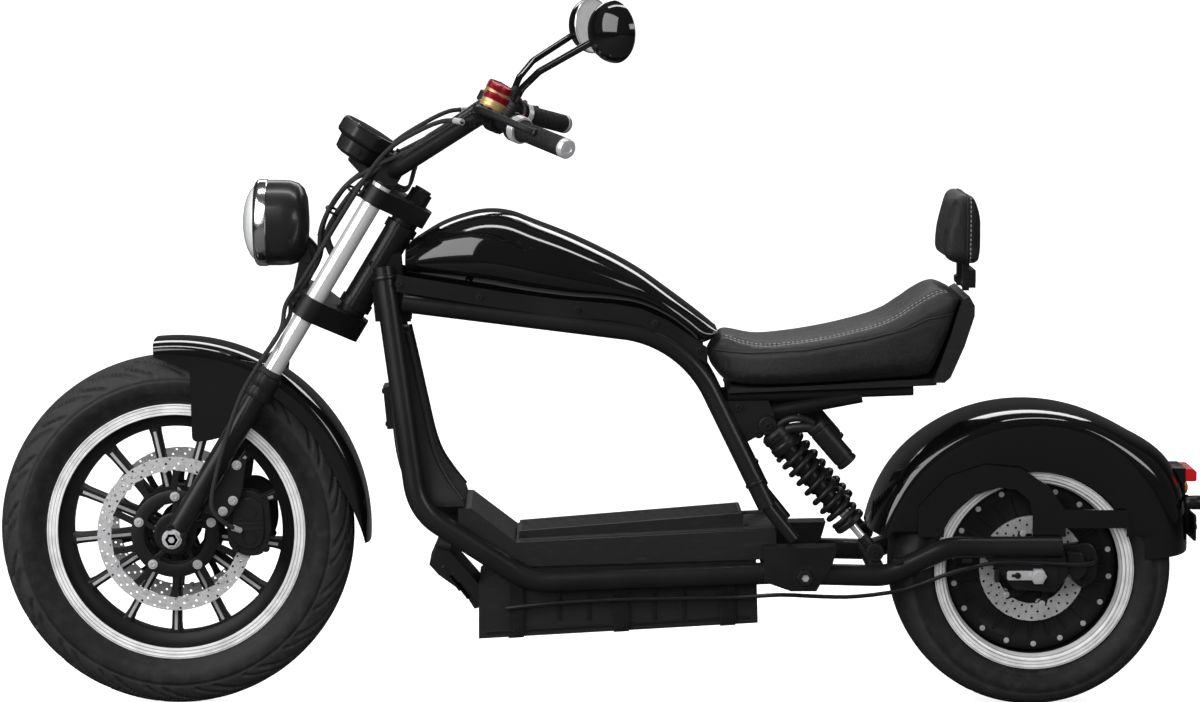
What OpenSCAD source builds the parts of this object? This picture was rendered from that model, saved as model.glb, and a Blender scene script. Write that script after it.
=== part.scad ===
// Electric chopper scooter. Millimetres, +X forward, +Y to the rider's left, +Z up.
// It is drawn with the rear axle over x = 0 and the ground at z = 0, then moved so that
// the origin is the saddle point, where the rider sits.

/* [Front wheel] */
// Distance between the two axles
wheel_base = 1448; // [1440:1:1460]
// Outside diameter of the front tyre
front_tyre_d = 600; // [590:1:606]
// Width of the front tyre
front_tyre_w = 120; // [112:1:122]
// Outside diameter of the front rim's flanges
front_rim_d = 436; // [430:1:440]
// Width over the front rim's flanges
front_rim_w = 88; // [84:1:92]
// Number of spokes of the front wheel
front_spokes = 13; // [10:1:15]
// Outside diameter of the front brake discs
front_disc_d = 262; // [256:1:266]

/* [Rear wheel] */
// Outside diameter of the rear tyre
rear_tyre_d = 477; // [470:1:480]
// Width of the rear tyre
rear_tyre_w = 215; // [205:1:216]
// Outside diameter of the rear rim's flanges
rear_rim_d = 336; // [330:1:340]
// Width over the rear rim's flanges
rear_rim_w = 186; // [180:1:188]
// Diameter of the hub motor's cover
motor_d = 284; // [278:1:288]
// Outside diameter of the rear brake disc
rear_disc_d = 180; // [174:1:184]

/* [Steering] */
// Rake of the steering axis from upright, in degrees
rake = 31; // [30.5:0.1:31.5]
// Distance forward of the steering axis' base point
head_x = 1142; // [1138:1:1146]
// Height of the steering axis' base point
head_z = 687; // [684:1:690]
// Distance of each fork leg from the middle
fork_y = 100; // [99:1:103]
// Diameter of the chromed fork tubes
fork_tube_d = 33; // [31:1:34]
// Diameter of the lower fork legs
fork_leg_d = 38; // [36:1:39]
// Diameter of the handlebar tube
bar_d = 28; // [24:1:30]
// Height of the handlebar over the upper clamp
riser_h = 35; // [33:1:40]

/* [Frame] */
// Diameter of the frame tubes
tube_d = 37; // [34:1:38]
// Diameter of the upper frame tubes
upper_tube_d = 32; // [30:1:34]
// Diameter of the head tube
head_tube_d = 50; // [48:1:52]
// Distance of the frame tubes from the middle, at the head
head_y = 75; // [74:1:76]
// Distance of the frame tubes from the middle, at the floor
floor_y = 125; // [124:1:126]
// Height of the flat side rails
rail_h = 28; // [26:1:30]
// Thickness of the flat side rails
rail_t = 6; // [5:1:8]

/* [Swing arm] */
// Height of the swing arm's pivot
pivot_z = 240; // [238:1:242]
// Distance of the pivot forward of the rear axle
pivot_x = 391; // [388:1:394]
// Distance of the swing arm's tubes from the middle
arm_y = 134; // [133:1:137]
// Diameter of the swing arm's tubes
arm_d = 36; // [34:1:37]

/* [Body] */
// Greatest width of the tank
tank_w = 236; // [224:1:244]
// Greatest width of the seat
seat_w = 272; // [256:1:290]
// Width of the backrest
backrest_w = 190; // [170:1:210]
// Width over the rear fender
rear_fender_w = 240; // [238:1:242]
// Width over the front fender
front_fender_w = 140; // [138:1:142]
// Thickness of the fender sheet
sheet = 3; // [2.5:0.1:3.5]
// Width of the battery box
battery_w = 196; // [180:1:204]
// Width of the battery lid
lid_w = 124; // [110:1:130]

/* [Hidden] */
$fn = 48;

sides = [-1, 1];
front_r = front_tyre_d / 2;
rear_r = rear_tyre_d / 2;
// The saddle point, which the whole drawing is moved to
saddle = [450, 0, 628];

// Place of the front axle in the steering's own frame: x forward of its axis, z along it
fork_offset = (wheel_base - head_x) * cos(rake) + (front_r - head_z) * sin(rake);
axle_s = -(wheel_base - head_x) * sin(rake) + (front_r - head_z) * cos(rake);

// Heights along the steering axis
leg_top_s = -170;
lower_clamp_s = [-58, -20];
head_s = [-10, 152];
upper_clamp_s = [164, 194];
fork_top_s = 200;
stem_nut_h = 28;
stem_d = 30;
bearing_t = 6;
running_gap = 0.05;

// Frame tube corners, as [x, y, z] of the left side
tube_r = tube_d / 2;
upper_r = upper_tube_d / 2;
down_top = [1094, head_y, 752];
down_foot = [1036, floor_y, 348];
floor_bend = [849, floor_y, 228];
split = down_foot + 0.5 * (floor_bend - down_foot);
floor_end = [pivot_x + 40, floor_y, 242];
upper_front = [1061.8, head_y + 4, 692.7];
upper_corner = [590, 88, 634];
upper_foot = [452, floor_y - 15, 352];
strut_foot = [406.8, floor_y - 15, 295.5];

// Rail corners, as [x, z]
rail_path = [[1071.5, 727.4], [991, 714], [898, 699], [805, 686], [711, 678], [664, 670],
             [617, 649], [575, 620], [552, 604]];
rail_y = 90;

function unit(v) = v / norm(v);
function mix(a, b, t) = a + (b - a) * t;
// Value of a table's column k at x, by smooth steps between rows sorted by their first column
function row_at(table, x, i = 0) =
    i >= len(table) - 2 || x < table[i + 1][0] ? i : row_at(table, x, i + 1);
function slope(table, k, i) =
    i == 0 ? (table[1][k] - table[0][k]) / (table[1][0] - table[0][0]) :
    i == len(table) - 1 ? (table[i][k] - table[i - 1][k]) / (table[i][0] - table[i - 1][0]) :
    (table[i + 1][k] - table[i - 1][k]) / (table[i + 1][0] - table[i - 1][0]);
function smooth(table, k, x) =
    let (i = row_at(table, x), h = table[i + 1][0] - table[i][0], t = (x - table[i][0]) / h,
         a = slope(table, k, i) * h, b = slope(table, k, i + 1) * h)
    (2 * t ^ 3 - 3 * t ^ 2 + 1) * table[i][k] + (t ^ 3 - 2 * t ^ 2 + t) * a
    + (3 * t ^ 2 - 2 * t ^ 3) * table[i + 1][k] + (t ^ 3 - t ^ 2) * b;

module placed() translate(-saddle) children();
module steer() translate([head_x, 0, head_z]) rotate([0, -rake, 0]) children();
// Upright again at a point of the steering's own frame
module upright(x, z) translate([x, 0, z]) rotate([0, rake, 0]) children();
module at_front_axle() translate([wheel_base, 0, front_r]) children();
module at_rear_axle() translate([0, 0, rear_r]) children();
module mirrored() for (s = sides) scale([1, 1, 1]) mirror([0, s < 0 ? 1 : 0, 0]) children();
// Draws a shape given as (x, z) standing in the XZ plane, t thick and centred on y
module in_xz(y, t) translate([0, y + t / 2, 0]) rotate([90, 0, 0]) linear_extrude(t) children();
// Turns +Z to lie along Y
module across(y, h) translate([0, y - h / 2, 0]) rotate([-90, 0, 0]) children();

module along(a, b) {
    d = b - a;
    translate(a) rotate([0, acos(d.z / norm(d)), atan2(d.y, d.x)]) children();
}
module rod(a, b, r) along(a, b) cylinder(h = norm(b - a), r = r);

// Overlap of a straight with its elbow, and how much thinner the elbow is
lap = 0.8;
skin = 0.1;
// A tube through corner points, with a round elbow of its own radius at each inner corner
module bent_tube(pts, r, bends) {
    last = len(pts) - 1;
    dirs = [for (i = [0 : last - 1]) unit(pts[i + 1] - pts[i])];
    cuts = [for (i = [0 : last])
        i == 0 || i == last ? 0 : bends[i - 1] * tan(acos(dirs[i - 1] * dirs[i]) / 2)];
    for (i = [0 : last - 1])
        rod(pts[i] + dirs[i] * (cuts[i] - (i == 0 ? 0 : lap)),
            pts[i + 1] - dirs[i] * (cuts[i + 1] - (i == last - 1 ? 0 : lap)), r);
    for (i = [1 : last - 1]) {
        u = dirs[i - 1];
        v = dirs[i];
        w = unit(v - (u * v) * u);
        c = pts[i] - u * cuts[i] + w * bends[i - 1];
        k = cross(-w, u);
        multmatrix([[-w.x, u.x, k.x, c.x], [-w.y, u.y, k.y, c.y], [-w.z, u.z, k.z, c.z], [0, 0, 0, 1]])
            rotate_extrude(angle = acos(u * v)) translate([bends[i - 1], 0]) circle(r = r - skin);
    }
}

// A closed body through rings of points, each ring with as many points as the first. The ends
// of a hollow one are strips between the ring's two halves.
module loft(rings, hollow = false) {
    m = len(rings[0]);
    n = len(rings);
    end = (n - 1) * m;
    polyhedron(
        points = [for (ring = rings) each ring],
        faces = [
            for (i = [0 : n - 2], j = [0 : m - 1]) [i * m + j, (i + 1) * m + j, i * m + (j + 1) % m],
            for (i = [0 : n - 2], j = [0 : m - 1])
                [(i + 1) * m + j, (i + 1) * m + (j + 1) % m, i * m + (j + 1) % m],
            each hollow ? [for (j = [0 : m / 2 - 2]) each [
                [j, j + 1, m - 2 - j], [j, m - 2 - j, m - 1 - j],
                [end + j, end + m - 2 - j, end + j + 1], [end + j, end + m - 1 - j, end + m - 2 - j]]]
            : [[for (j = [0 : m - 1]) j], [for (j = [m - 1 : -1 : 0]) end + j]]
        ]);
}

// A round cable swept along points
module cable(pts, r, count = 8) {
    last = len(pts) - 1;
    loft([for (i = [0 : last])
        let (d = unit(pts[min(i + 1, last)] - pts[max(i - 1, 0)]), a = unit(cross(d, [0.31, 1, 0.17])),
            b = cross(d, a))
        [for (j = [0 : count - 1]) pts[i] + r * (cos(360 * j / count) * a + sin(360 * j / count) * b)]]);
}
// Points of a smooth curve through a list of chosen points
function curve(pts, steps) = [
    for (i = [0 : len(pts) - 2], k = [0 : steps - 1])
        let (t = k / steps, p0 = pts[max(i - 1, 0)], p1 = pts[i], p2 = pts[i + 1], p3 = pts[min(i + 2,
            len(pts) - 1)])
        0.5 * (2 * p1 + (p2 - p0) * t + (2 * p0 - 5 * p1 + 4 * p2 - p3)
            * t ^ 2 + (3 * p1 - p0 - 3 * p2 + p3) * t ^ 3),
    pts[len(pts) - 1]];

// Frame

// Webs that carry the head tube between the frame tubes
web_t = 5;
function down_x(z) = mix(down_foot.x, down_top.x, (z - down_foot.z) / (down_top.z - down_foot.z));
module head_frame() color("#17181a") difference() {
    union() {
        steer() translate([0, 0, head_s[0]]) cylinder(h = head_s[1] - head_s[0], d = head_tube_d);
        for (t = [head_s[0], head_s[1] - 14]) steer() translate([0, 0, t]) cylinder(h = 14,
            d = head_tube_d + 6);
        mirrored() bent_tube([down_top, down_foot, split], tube_r, [95]);
        for (y = sides) in_xz(y * 20, web_t) polygon([[1110, 655], [1120, 756], [1067, 773], [1064, 736],
            [1046, 700], [1050, 655]]);
        for (z = [672, 738]) translate([down_x(z) - 6, 0, z]) across(0, 2 * head_y)
            cylinder(h = 2 * head_y, d = 16);
    }
    steer() translate([0, 0, head_s[0] - 30]) cylinder(h = head_s[1] - head_s[0] + 60,
        r = stem_d / 2 + running_gap);
}

// The pivot boxes stand around the front ends of the swing arm
box_gap = 0.5;
box_w = arm_d + 3;
module bottom_tubes() color("#1b1c1e") {
    mirrored() bent_tube([split, floor_bend, floor_end], tube_r, [110]);
    mirrored() difference() {
        in_xz(arm_y, box_w + 8) polygon([[459, 288], [337, 290], [345, 262], [372, 216], [414, 216], [459,
            232]]);
        in_xz(arm_y, box_w) polygon([[455, 284], [330, 285.5], [330, 200], [430, 200], [455, 228]]);
        translate([pivot_x, 0, pivot_z]) across(arm_y, box_w + 20) cylinder(h = box_w + 20,
            r = 8 + running_gap);
    }
    for (p = [[450, 242], [930, 280]]) translate([p.x, 0, p.y]) across(0, 2 * floor_y)
        cylinder(h = 2 * floor_y, d = 15);
}

// Upper tubes with the flat rails on them, and the struts and gussets under the seat
strut_y = 70;
module upper_frame() color("#1b1c1e") {
    mirrored() {
        bent_tube([upper_front, upper_corner, upper_foot], upper_r, [190]);
        rod(upper_foot, strut_foot, 11);
        in_xz(rail_y + rail_t / 2, rail_t)
            polygon([for (p = rail_path) p + [0, rail_h / 2],
                     for (i = [len(rail_path) - 1 : -1 : 0]) rail_path[i] - [0, rail_h / 2]]);
        rod([446, strut_y, 505], [292, strut_y, 534], 12);
        rod([516, strut_y, 532.2], [205, strut_y, 543.1], 9);
        in_xz(upper_corner.y + 7, 6)
            polygon([[534, 528], [450, 529], [440, 505], [444, 482], [484, 460], [512, 492]]);
    }
    for (p = [[577, 600], [960, 681], [450, 505]])
        translate([p.x, 0, p.y]) across(0, 190) cylinder(h = 190, d = p.x == 450 ? 18 : 14);
}

// Tank sections: [x, top, floor, half width, squareness of the outline]
tank = [
    [534, 644, 638, 60, 2.2], [546, 655, 624, 66, 2.2], [562, 668, 620, 73, 2.3], [580, 682, 636, 77, 2.3],
        [614, 707, 662, 84, 2.4], [662, 741, 684, 88, 2.5],
    [709, 768, 692, 98, 2.5], [776, 800, 697, 110, 2.6], [842, 826, 705, 117, 2.6], [880, 840, 711, 118,
        2.6],
    [913, 844, 717, 117, 2.6], [946, 840, 722, 114, 2.6], [994, 824, 729, 100, 2.5], [1032, 802, 735, 80,
        2.4],
    [1058, 784, 740, 60, 2.2]
];
tank_points = 28;
function tank_ring(x) =
    let (top = smooth(tank, 1, x), low = smooth(tank, 2, x), w = smooth(tank, 3, x) * tank_w / 236,
        e = smooth(tank, 4, x), mid = mix(low, top, 0.36))
    [for (j = [0 : tank_points - 1])
        let (a = 360 * j / tank_points, c = cos(a), s = sin(a), h = s > 0 ? top - mid : mid - low)
        [x, w * sign(c) * abs(c) ^ (2 / e), mid + h * sign(s) * abs(s) ^ (2 / e)]];
module tank() color("#050506") difference() {
    loft([for (i = [0 : 20]) tank_ring(mix(tank[0][0], tank[len(tank) - 1][0], i / 20))]);
    steer() translate([0, 0, -40]) cylinder(h = 260, d = head_tube_d + 16, $fn = 32);
}

// Seat

// Seat sections: [x, top, underside, half width]
seat = [
    [129, 709, 704, 108], [140, 714, 681, 120], [150, 719, 645, 128], [165, 722, 603, 131], [178, 717, 572,
        133],
    [190, 710, 566, 134], [249, 670, 563, 136], [310, 650, 559, 136], [377, 636, 555, 134], [437, 629, 552,
        124],
    [470, 629, 551, 112], [500, 636, 552, 96], [520, 643, 556, 82], [531, 637, 566, 76], [541, 623, 580,
        70],
    [550, 608, 594, 64]
];
seat_points = 24;
seat_gap = 1.2;
function seat_ring(x) =
    let (top = smooth(seat, 1, x), low = smooth(seat, 2, x), w = smooth(seat, 3, x) * seat_w / 272,
        mid = (top + low) / 2)
    [for (j = [0 : seat_points - 1])
        let (a = 360 * j / seat_points, c = cos(a), s = sin(a))
        [x, w * sign(c) * abs(c) ^ 0.5, mid + (top - low) / 2 * sign(s) * abs(s) ^ 0.5]];
module seat_cushion() color("#202022")
    loft([for (i = [0 : 24]) seat_ring(mix(129, 550, i / 24))]);
// The base under the cushion and the shell that rises behind it
module seat_base() color("#141415") {
    in_xz(0, 190) polygon([for (i = [0 : 24]) let (x = mix(512, 186, i / 24)) [x, smooth(seat, 2, x)
        - seat_gap],
                           [168, 566], [168, 554], [205, 552.5], [518, 541.5]]);
    in_xz(0, 2 * 118) polygon([[175, 564.5], [148.5, 638], [133.5, 687], [126, 701], [117, 706], [108,
        690], [108, 673],
                               [124, 623], [147, 570], [157, 561], [175, 561]]);
}

module backrest_pad() color("#202022")
    translate([0, backrest_w / 2, 0]) rotate([90, 0, 0]) linear_extrude(backrest_w)
        offset(r = 8) polygon([[136, 867], [110, 868], [104, 838], [103, 762.92], [140, 766], [152, 772],
            [148, 806]]);
module backrest_post() color("#1a1a1c") {
    for (y = sides) translate([111, y * 45 - 10, 709.6]) cube([10, 20, 45.6]);
    translate([100, -55, 714]) cube([11.5, 110, 30]);
}

// Floor

// Rear face of the leg box and the deck, as [x, z]
deck = [[880, 293], [432, 315]];
module leg_box() color("#1d1e20") {
    slices = [[1050, 1092, 640, head_y - tube_r - 10], [998, 1072, 430, floor_y - tube_r - 30],
              [955, 1035, 349.6, floor_y - tube_r - 12]];
    for (i = [0 : 1]) hull() for (p = [slices[i], slices[i + 1]])
        translate([p[0], -p[3], p[2]]) cube([p[1] - p[0], 2 * p[3], 3]);
}

wall_t = 3;
module footboard() color("#1c1d1f") difference() {
    deck_w = 2 * (floor_y - tube_r - 1);
    in_xz(0, deck_w) polygon([[970, 349], [948, 349], [872, 291], [440, 312.6], [436, 309], [436, 262],
        [850, 250], [970, 316]]);
    in_xz(0, deck_w - 2 * wall_t) polygon([[967, 346], [949, 346], [872, 288], [441, 309.6], [441, 240],
        [850, 236], [967, 300]]);
    translate([489.5, -lid_w / 2 - box_gap, 280]) cube([379, lid_w + 2 * box_gap, 60]);
}

battery_h = 150;
module battery_box() color("#18191b") {
    in_xz(0, battery_w) polygon([[936, 126], [936, 215], [870, 270], [470, 284], [466, 152]]);
    for (x = [873, 696, 517])
        in_xz(0, 2 * (floor_y - tube_r) - 0.6)
            polygon([[x - 13, 152 - (x - 479) * 0.0566], [x + 13, 152 - (x - 453) * 0.0566], [x + 13, 238],
                [x - 13, 238]]);
}

module battery_lid() color("#242527") {
    in_xz(0, lid_w) polygon([[868, 289], [868, 303], [492, 333], [490, 330], [490, 307.5]]);
    translate([494, 0, 322]) across(0, lid_w) cylinder(h = lid_w, d = 8);
}

module controller() color("#151617") {
    in_xz(0, 120) polygon([[1008, 274], [1020, 246], [1004, 228], [960, 196], [944, 170], [936.5, 172],
        [936.5, 212], [985, 268]]);
    translate([1079.8, 0, 510]) rotate([0, 5.44, 0]) translate([0.5, -32, -36]) cube([14, 64, 72]);
}

// Rear end

module swing_arm() color("#1b1c1e") {
    mirrored() bent_tube([[pivot_x - 26, arm_y, pivot_z + 1], [252, arm_y, 238], [150, arm_y, 286], [-40,
        arm_y, 286]],
                         arm_d / 2, [90, 90]);
    mirrored() difference() {
        union() {
            translate([pivot_x, 0, pivot_z]) across(arm_y, box_w - 2 * box_gap)
                cylinder(h = box_w - 2 * box_gap, r = 21);
            translate([pivot_x - 34, arm_y - 10, pivot_z - 14]) cube([36, 20, 28]);
        }
        translate([pivot_x, 0, pivot_z]) across(arm_y, 60) cylinder(h = 60, r = 8 + running_gap);
    }
    mirrored() difference() {
        in_xz(arm_y, 8) polygon([[96, 275], [60, 240], [40, 215], [-30, 210], [-52, 240], [-44, 283]]);
        at_rear_axle() across(arm_y, 12) cylinder(h = 12, r = 8 + running_gap);
        translate([14, arm_y - 6, rear_r - 4]) cube([30, 12, 8]);
    }
    translate([268, 0, 246]) across(0, 2 * arm_y) cylinder(h = 2 * arm_y, d = 28);
}

module rear_axle() color("silver") {
    at_rear_axle() across(0, 2 * arm_y + 44) cylinder(h = 2 * arm_y + 44, r = 8);
    translate([pivot_x, 0, pivot_z]) across(0, 2 * arm_y + 60) cylinder(h = 2 * arm_y + 60, r = 8);
    for (s = sides) translate([pivot_x, 0, pivot_z]) across(s * (arm_y + box_w / 2 + 4 + 5.4), 10)
        cylinder(h = 10, d = 26, $fn = 6);
    for (s = sides) at_rear_axle() across(s * (arm_y + 4 + 6.3), 12) cylinder(h = 12, d = 28, $fn = 6);
}

shock_top = [452, 112, 490];
shock_foot = [271, 108, 275];
shock_len = norm(shock_top - shock_foot);
module shock_bodies() color("#141415") mirrored() {
    along(shock_foot, shock_top) {
        translate([0, 0, 12]) cylinder(h = 60, d = 20);
        translate([0, 0, 66]) cylinder(h = 6, d = 56);
        translate([0, 0, 72]) cylinder(h = shock_len - 110, d = 24);
        translate([0, 0, shock_len - 52]) cylinder(h = 36, d = 50);
    }
    for (p = [shock_top, shock_foot]) translate([p.x, 0, p.z]) across(p.y, 27) cylinder(h = 27, d = 30);
    rod([438, 116, 486], [368, 128, 492], 14);
    rod([372, 130, 490], [320, 130, 430], 18.5);
    rod([320, 130, 430], [313, 130, 422], 15);
}
coil_turns = 8;
module shock_springs() color("#101011") mirrored() along(shock_foot, shock_top)
    rotate_extrude() difference() {
        union() {
            translate([17, 72.3]) square([7, shock_len - 124.6]);
            for (i = [0 : coil_turns - 1])
                translate([24, 80 + i * (shock_len - 140) / (coil_turns - 1)]) circle(r = 5.2, $fn = 24);
        }
        translate([-20, 0]) square([37, 400]);
    }

// Rear fender: [angle from ahead, outer radius, radius of the side crease]
fender = [
    [12, 286, 256], [37, 289, 256], [60, 284, 253], [84, 278, 253], [105, 277, 253], [125, 281, 246],
    [140, 294, 236], [150, 290, 230], [163, 276, 222], [173, 268, 216]
];
fender_steps = 26;
skirt_low = 172;
function fender_point(a, r, y) = [r * cos(a), y, r * sin(a)];
// Half cross section from the crown's middle to the skirt's edge, as [y share, radius]
function fender_half(a, t, half) =
    let (r = smooth(fender, 1, a) - t, c = smooth(fender, 2, a))
    [for (q = [0 : 5]) let (b = 90 * q / 5) [(half - t) * sin(b) ^ 0.8, c + (r - c) * cos(b) ^ 0.8]];
function fender_ring(a) =
    let (half = rear_fender_w / 2, low = skirt_low, outer = fender_half(a, 0, half), inner = fender_half(a,
        sheet, half))
    [
        fender_point(a, low, half), for (q = [5 : -1 : 0]) fender_point(a, outer[q][1], outer[q][0]),
        for (q = [1 : 5]) fender_point(a, outer[q][1], -outer[q][0]), fender_point(a, low, -half),
        fender_point(a, low, -half + sheet), for (q = [5 : -1 : 0]) fender_point(a, inner[q][1],
            -inner[q][0]),
        for (q = [1 : 5]) fender_point(a, inner[q][1], inner[q][0]), fender_point(a, low, half - sheet)
    ];
module rear_fender() color("#050506") at_rear_axle() difference() {
    loft([for (i = [0 : fender_steps]) fender_ring(mix(12, 173, i / fender_steps))], hollow = true);
    translate([-200, -200, -200]) rotate([0, 4, 0]) cube([400, 400, 262]);
    translate([100, -200, -200]) cube([400, 400, 268]);
}

module fender_stays() color("#0c0c0d") mirrored() difference() {
    in_xz(rear_fender_w / 2 + 2.5, 4)
        polygon([[200, 301.6], [200, 352], [150, 404], [88, 424], [28, 418], [-20, 386], [-46, 348], [-150,
            346], [-158, 301.6]]);
    in_xz(rear_fender_w / 2 + 2.5, 10) polygon([[158, 290], [155, 322], [134, 348], [102, 374], [66, 385],
        [36, 382], [14, 364], [8, 340], [8, 290]]);
    in_xz(rear_fender_w / 2 + 2.5, 10) polygon([[-48, 290], [-48, 316], [-150, 316], [-150, 290]]);
}

module tail_lamp() color("#b3202c")
    in_xz(0, 84) polygon([[-253.6, 380], [-240.2, 406], [-276, 406], [-281, 400], [-281, 382], [-278,
        380]]);
// Plate holder with its two screw holes, and the turn signals on their stalks
plate_x = -276;
hole_y = 60;
hole_z = 308;
module plate_bracket() color("#101011") {
    in_xz(0, 60) polygon([[-257.4, 378], [-260, 352], [-263.6, 330], [-267, 300], [-268.4, 290], [-272.5,
        290],
                          [-272.5, 332], [-265, 352], [-261.5, 378]]);
    difference() {
        translate([plate_x, -75, 284]) cube([4, 150, 46]);
        for (y = sides) translate([plate_x - 1, y * hole_y, hole_z]) rotate([0, 90, 0]) cylinder(h = 6,
            d = 6.6);
    }
    for (y = sides) {
        translate([-267, 0, 354]) across(y * 54, 70) cylinder(h = 70, d = 9);
        rod([-254, y * 86, 354], [-286, y * 86, 354], 12);
    }
}

rear_disc_y = 66;
module rear_caliper() color("#1a1b1d") {
    difference() {
        in_xz(76, 44) polygon([[-44, 280], [-98, 288], [-110, 262], [-104, 218], [-80, 206], [-62, 220],
            [-58, 250]]);
        at_rear_axle() across(rear_disc_y, 11) cylinder(h = 11, d = rear_disc_d + 12);
    }
    in_xz(112.75, 33.5) polygon([[-50, 276], [-76, 276], [-84, 240], [-66, 226], [-52, 240]]);
}
module rear_brake_line() color("#111112")
    cable(curve([[890, 112, 180], [800, 115, 190], [700, 118, 196], [600, 120, 198], [500, 122, 200], [430,
        134, 206],
                 [360, 140, 204], [300, 138, 204], [220, 138, 216], [140, 142, 246], [70, 148, 262], [10,
                     148, 262],
                 [-50, 143, 258], [-84, 137, 258], [-97, 120, 258], [-98, 98.8, 258]], 3), 3.5);

// Wheels

module rear_tyre() color("#1b1b1c") at_rear_axle() rotate([90, 0, 0]) rotate_extrude() difference() {
    w = rear_tyre_w / 2;
    bead = rear_rim_d / 2 - 6;
    polygon([[bead, w - 26], [bead + 16, w - 14], [rear_r - 42, w], [rear_r - 26, w - 4], [rear_r - 8,
        w - 34], [rear_r - 1.5, w - 66],
             [rear_r, 0], [rear_r - 1.5, 66 - w], [rear_r - 8, 34 - w], [rear_r - 26, 4 - w], [rear_r - 42,
                 -w], [bead + 16, 14 - w], [bead, 26 - w]]);
}
// The rim and the motor in its hub are one casting
module rear_wheel() color("#19191b") at_rear_axle() rotate([90, 0, 0]) difference() {
    union() {
        rotate_extrude() {
            w = rear_rim_w / 2;
            r = rear_rim_d / 2;
            polygon([[r - 20, w], [r, w], [r, w - 5], [r - 6.5, w - 5], [r - 6.5, 5 - w], [r, 5 - w], [r,
                -w], [r - 20, -w], [r - 20, 8 - w],
                     [r - 14, 20 - w], [r - 14, w - 20], [r - 20, w - 8]]);
        }
        cylinder(h = 92, d = motor_d, center = true);
        cylinder(h = 40, d = rear_rim_d - 24, center = true);
        cylinder(h = 104, d = 150, center = true);
        cylinder(h = 2 * (rear_disc_y - 2.3), d = 80, center = true);
    }
    cylinder(h = 200, r = 8 + running_gap, center = true);
}
module rear_disc() color("silver") at_rear_axle() across(rear_disc_y, 4) difference() {
    cylinder(h = 4, d = rear_disc_d);
    translate([0, 0, -1]) cylinder(h = 6, r = 20);
}

module front_tyre() color("#1b1b1c") at_front_axle() rotate([90, 0, 0]) rotate_extrude() {
    w = front_tyre_w / 2;
    bead = front_rim_d / 2 - 6;
    polygon([[bead, w - 25], [bead + 12, w - 18], [front_r - 52, w - 1], [front_r - 40, w], [front_r - 20,
        w - 12], [front_r - 7, w - 30], [front_r, 12],
             [front_r, -12], [front_r - 7, 30 - w], [front_r - 20, 12 - w], [front_r - 40, -w],
                 [front_r - 52, 1 - w], [bead + 12, 18 - w], [bead, 25 - w]]);
}
hub_d = 76;
rim_in = 18;
module front_wheel() color("#161617") at_front_axle() rotate([90, 0, 0]) difference() {
    union() {
        rotate_extrude() {
            w = front_rim_w / 2;
            r = front_rim_d / 2;
            polygon([[r - rim_in, w], [r, w], [r, w - 5], [r - 6.5, w - 5], [r - 6.5, 5 - w], [r, 5 - w],
                [r, -w], [r - rim_in, -w], [r - 40, 26 - w], [r - 40, w - 26]]);
        }
        cylinder(h = 2 * (disc_y - 2.3), d = hub_d, center = true);
        cylinder(h = 30, d = 150, center = true);
        for (i = [0 : front_spokes - 1]) rotate(360 * (i + 0.75) / front_spokes)
            translate([70, -6, -13]) cube([front_rim_d / 2 - 105, 12, 26]);
    }
    cylinder(h = 200, r = 8 + running_gap, center = true);
}
disc_y = 60;
module front_discs() color("silver") at_front_axle() for (s = sides) across(s * disc_y, 4) difference() {
    union() {
        difference() {
            cylinder(h = 4, d = front_disc_d);
            translate([0, 0, -1]) cylinder(h = 6, d = front_disc_d - 50);
        }
        for (i = [0 : 9]) rotate(36 * i) translate([45, -7, 0]) cube([front_disc_d / 2 - 68, 14, 4]);
        cylinder(h = 4, d = 130);
    }
    translate([0, 0, -1]) cylinder(h = 6, d = 60);
}

// Steering

module lower_clamp() color("#141517") steer() {
    difference() {
        union() {
            translate([0, 0, lower_clamp_s[0]]) linear_extrude(lower_clamp_s[1] - lower_clamp_s[0])
                offset(r = 22) clamp_plan();
        }
        for (s = sides) translate([fork_offset, s * fork_y, lower_clamp_s[0] - 1])
            cylinder(h = lower_clamp_s[1] - lower_clamp_s[0] + 2, d = fork_tube_d + 0.6);
    }
    translate([0, 0, lower_clamp_s[1] - 0.5])
        cylinder(h = upper_clamp_s[1] - lower_clamp_s[1] + stem_nut_h, d = stem_d);
    translate([0, 0, lower_clamp_s[1] - 0.5]) cylinder(h = head_s[0] - lower_clamp_s[1],
        d = head_tube_d - 4);
    translate([0, 0, head_s[1] + 0.5]) cylinder(h = upper_clamp_s[0] - head_s[1] - 1, d = head_tube_d - 4);
    translate([0, 0, upper_clamp_s[1] + 0.4]) cylinder(h = stem_nut_h - 6, d = 38, $fn = 6);
}
module clamp_plan() polygon([[-12, -14], [-12, 14], [fork_offset, fork_y], [fork_offset + 6, fork_y - 10],
    [fork_offset - 2, 30], [fork_offset - 2, -30],
                             [fork_offset + 6, 10 - fork_y], [fork_offset, -fork_y]]);
module upper_clamp() color("#141517") steer() {
    difference() {
        translate([0, 0, upper_clamp_s[0]]) linear_extrude(upper_clamp_s[1] - upper_clamp_s[0])
            offset(r = 20) clamp_plan();
        for (s = sides) translate([fork_offset, s * fork_y, upper_clamp_s[0] - 1]) cylinder(h = 40,
            d = fork_tube_d + 0.6);
        translate([0, 0, upper_clamp_s[0] - 1]) cylinder(h = 40, d = stem_d + 0.6);
    }
    for (s = sides) difference() {
        translate([fork_offset - 20, s * 42 - 14, upper_clamp_s[1] - 0.5]) cube([38, 28,
            riser_h + bar_d / 2 + 6]);
        translate([bar_x, 0, upper_clamp_s[1] + riser_h]) across(0, 200) cylinder(h = 200, d = bar_d + 0.6);
    }
    translate([fork_offset, -12, upper_clamp_s[1] - 0.5]) cube([24, 24, 14]);
}
bar_x = fork_offset - 5;

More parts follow.
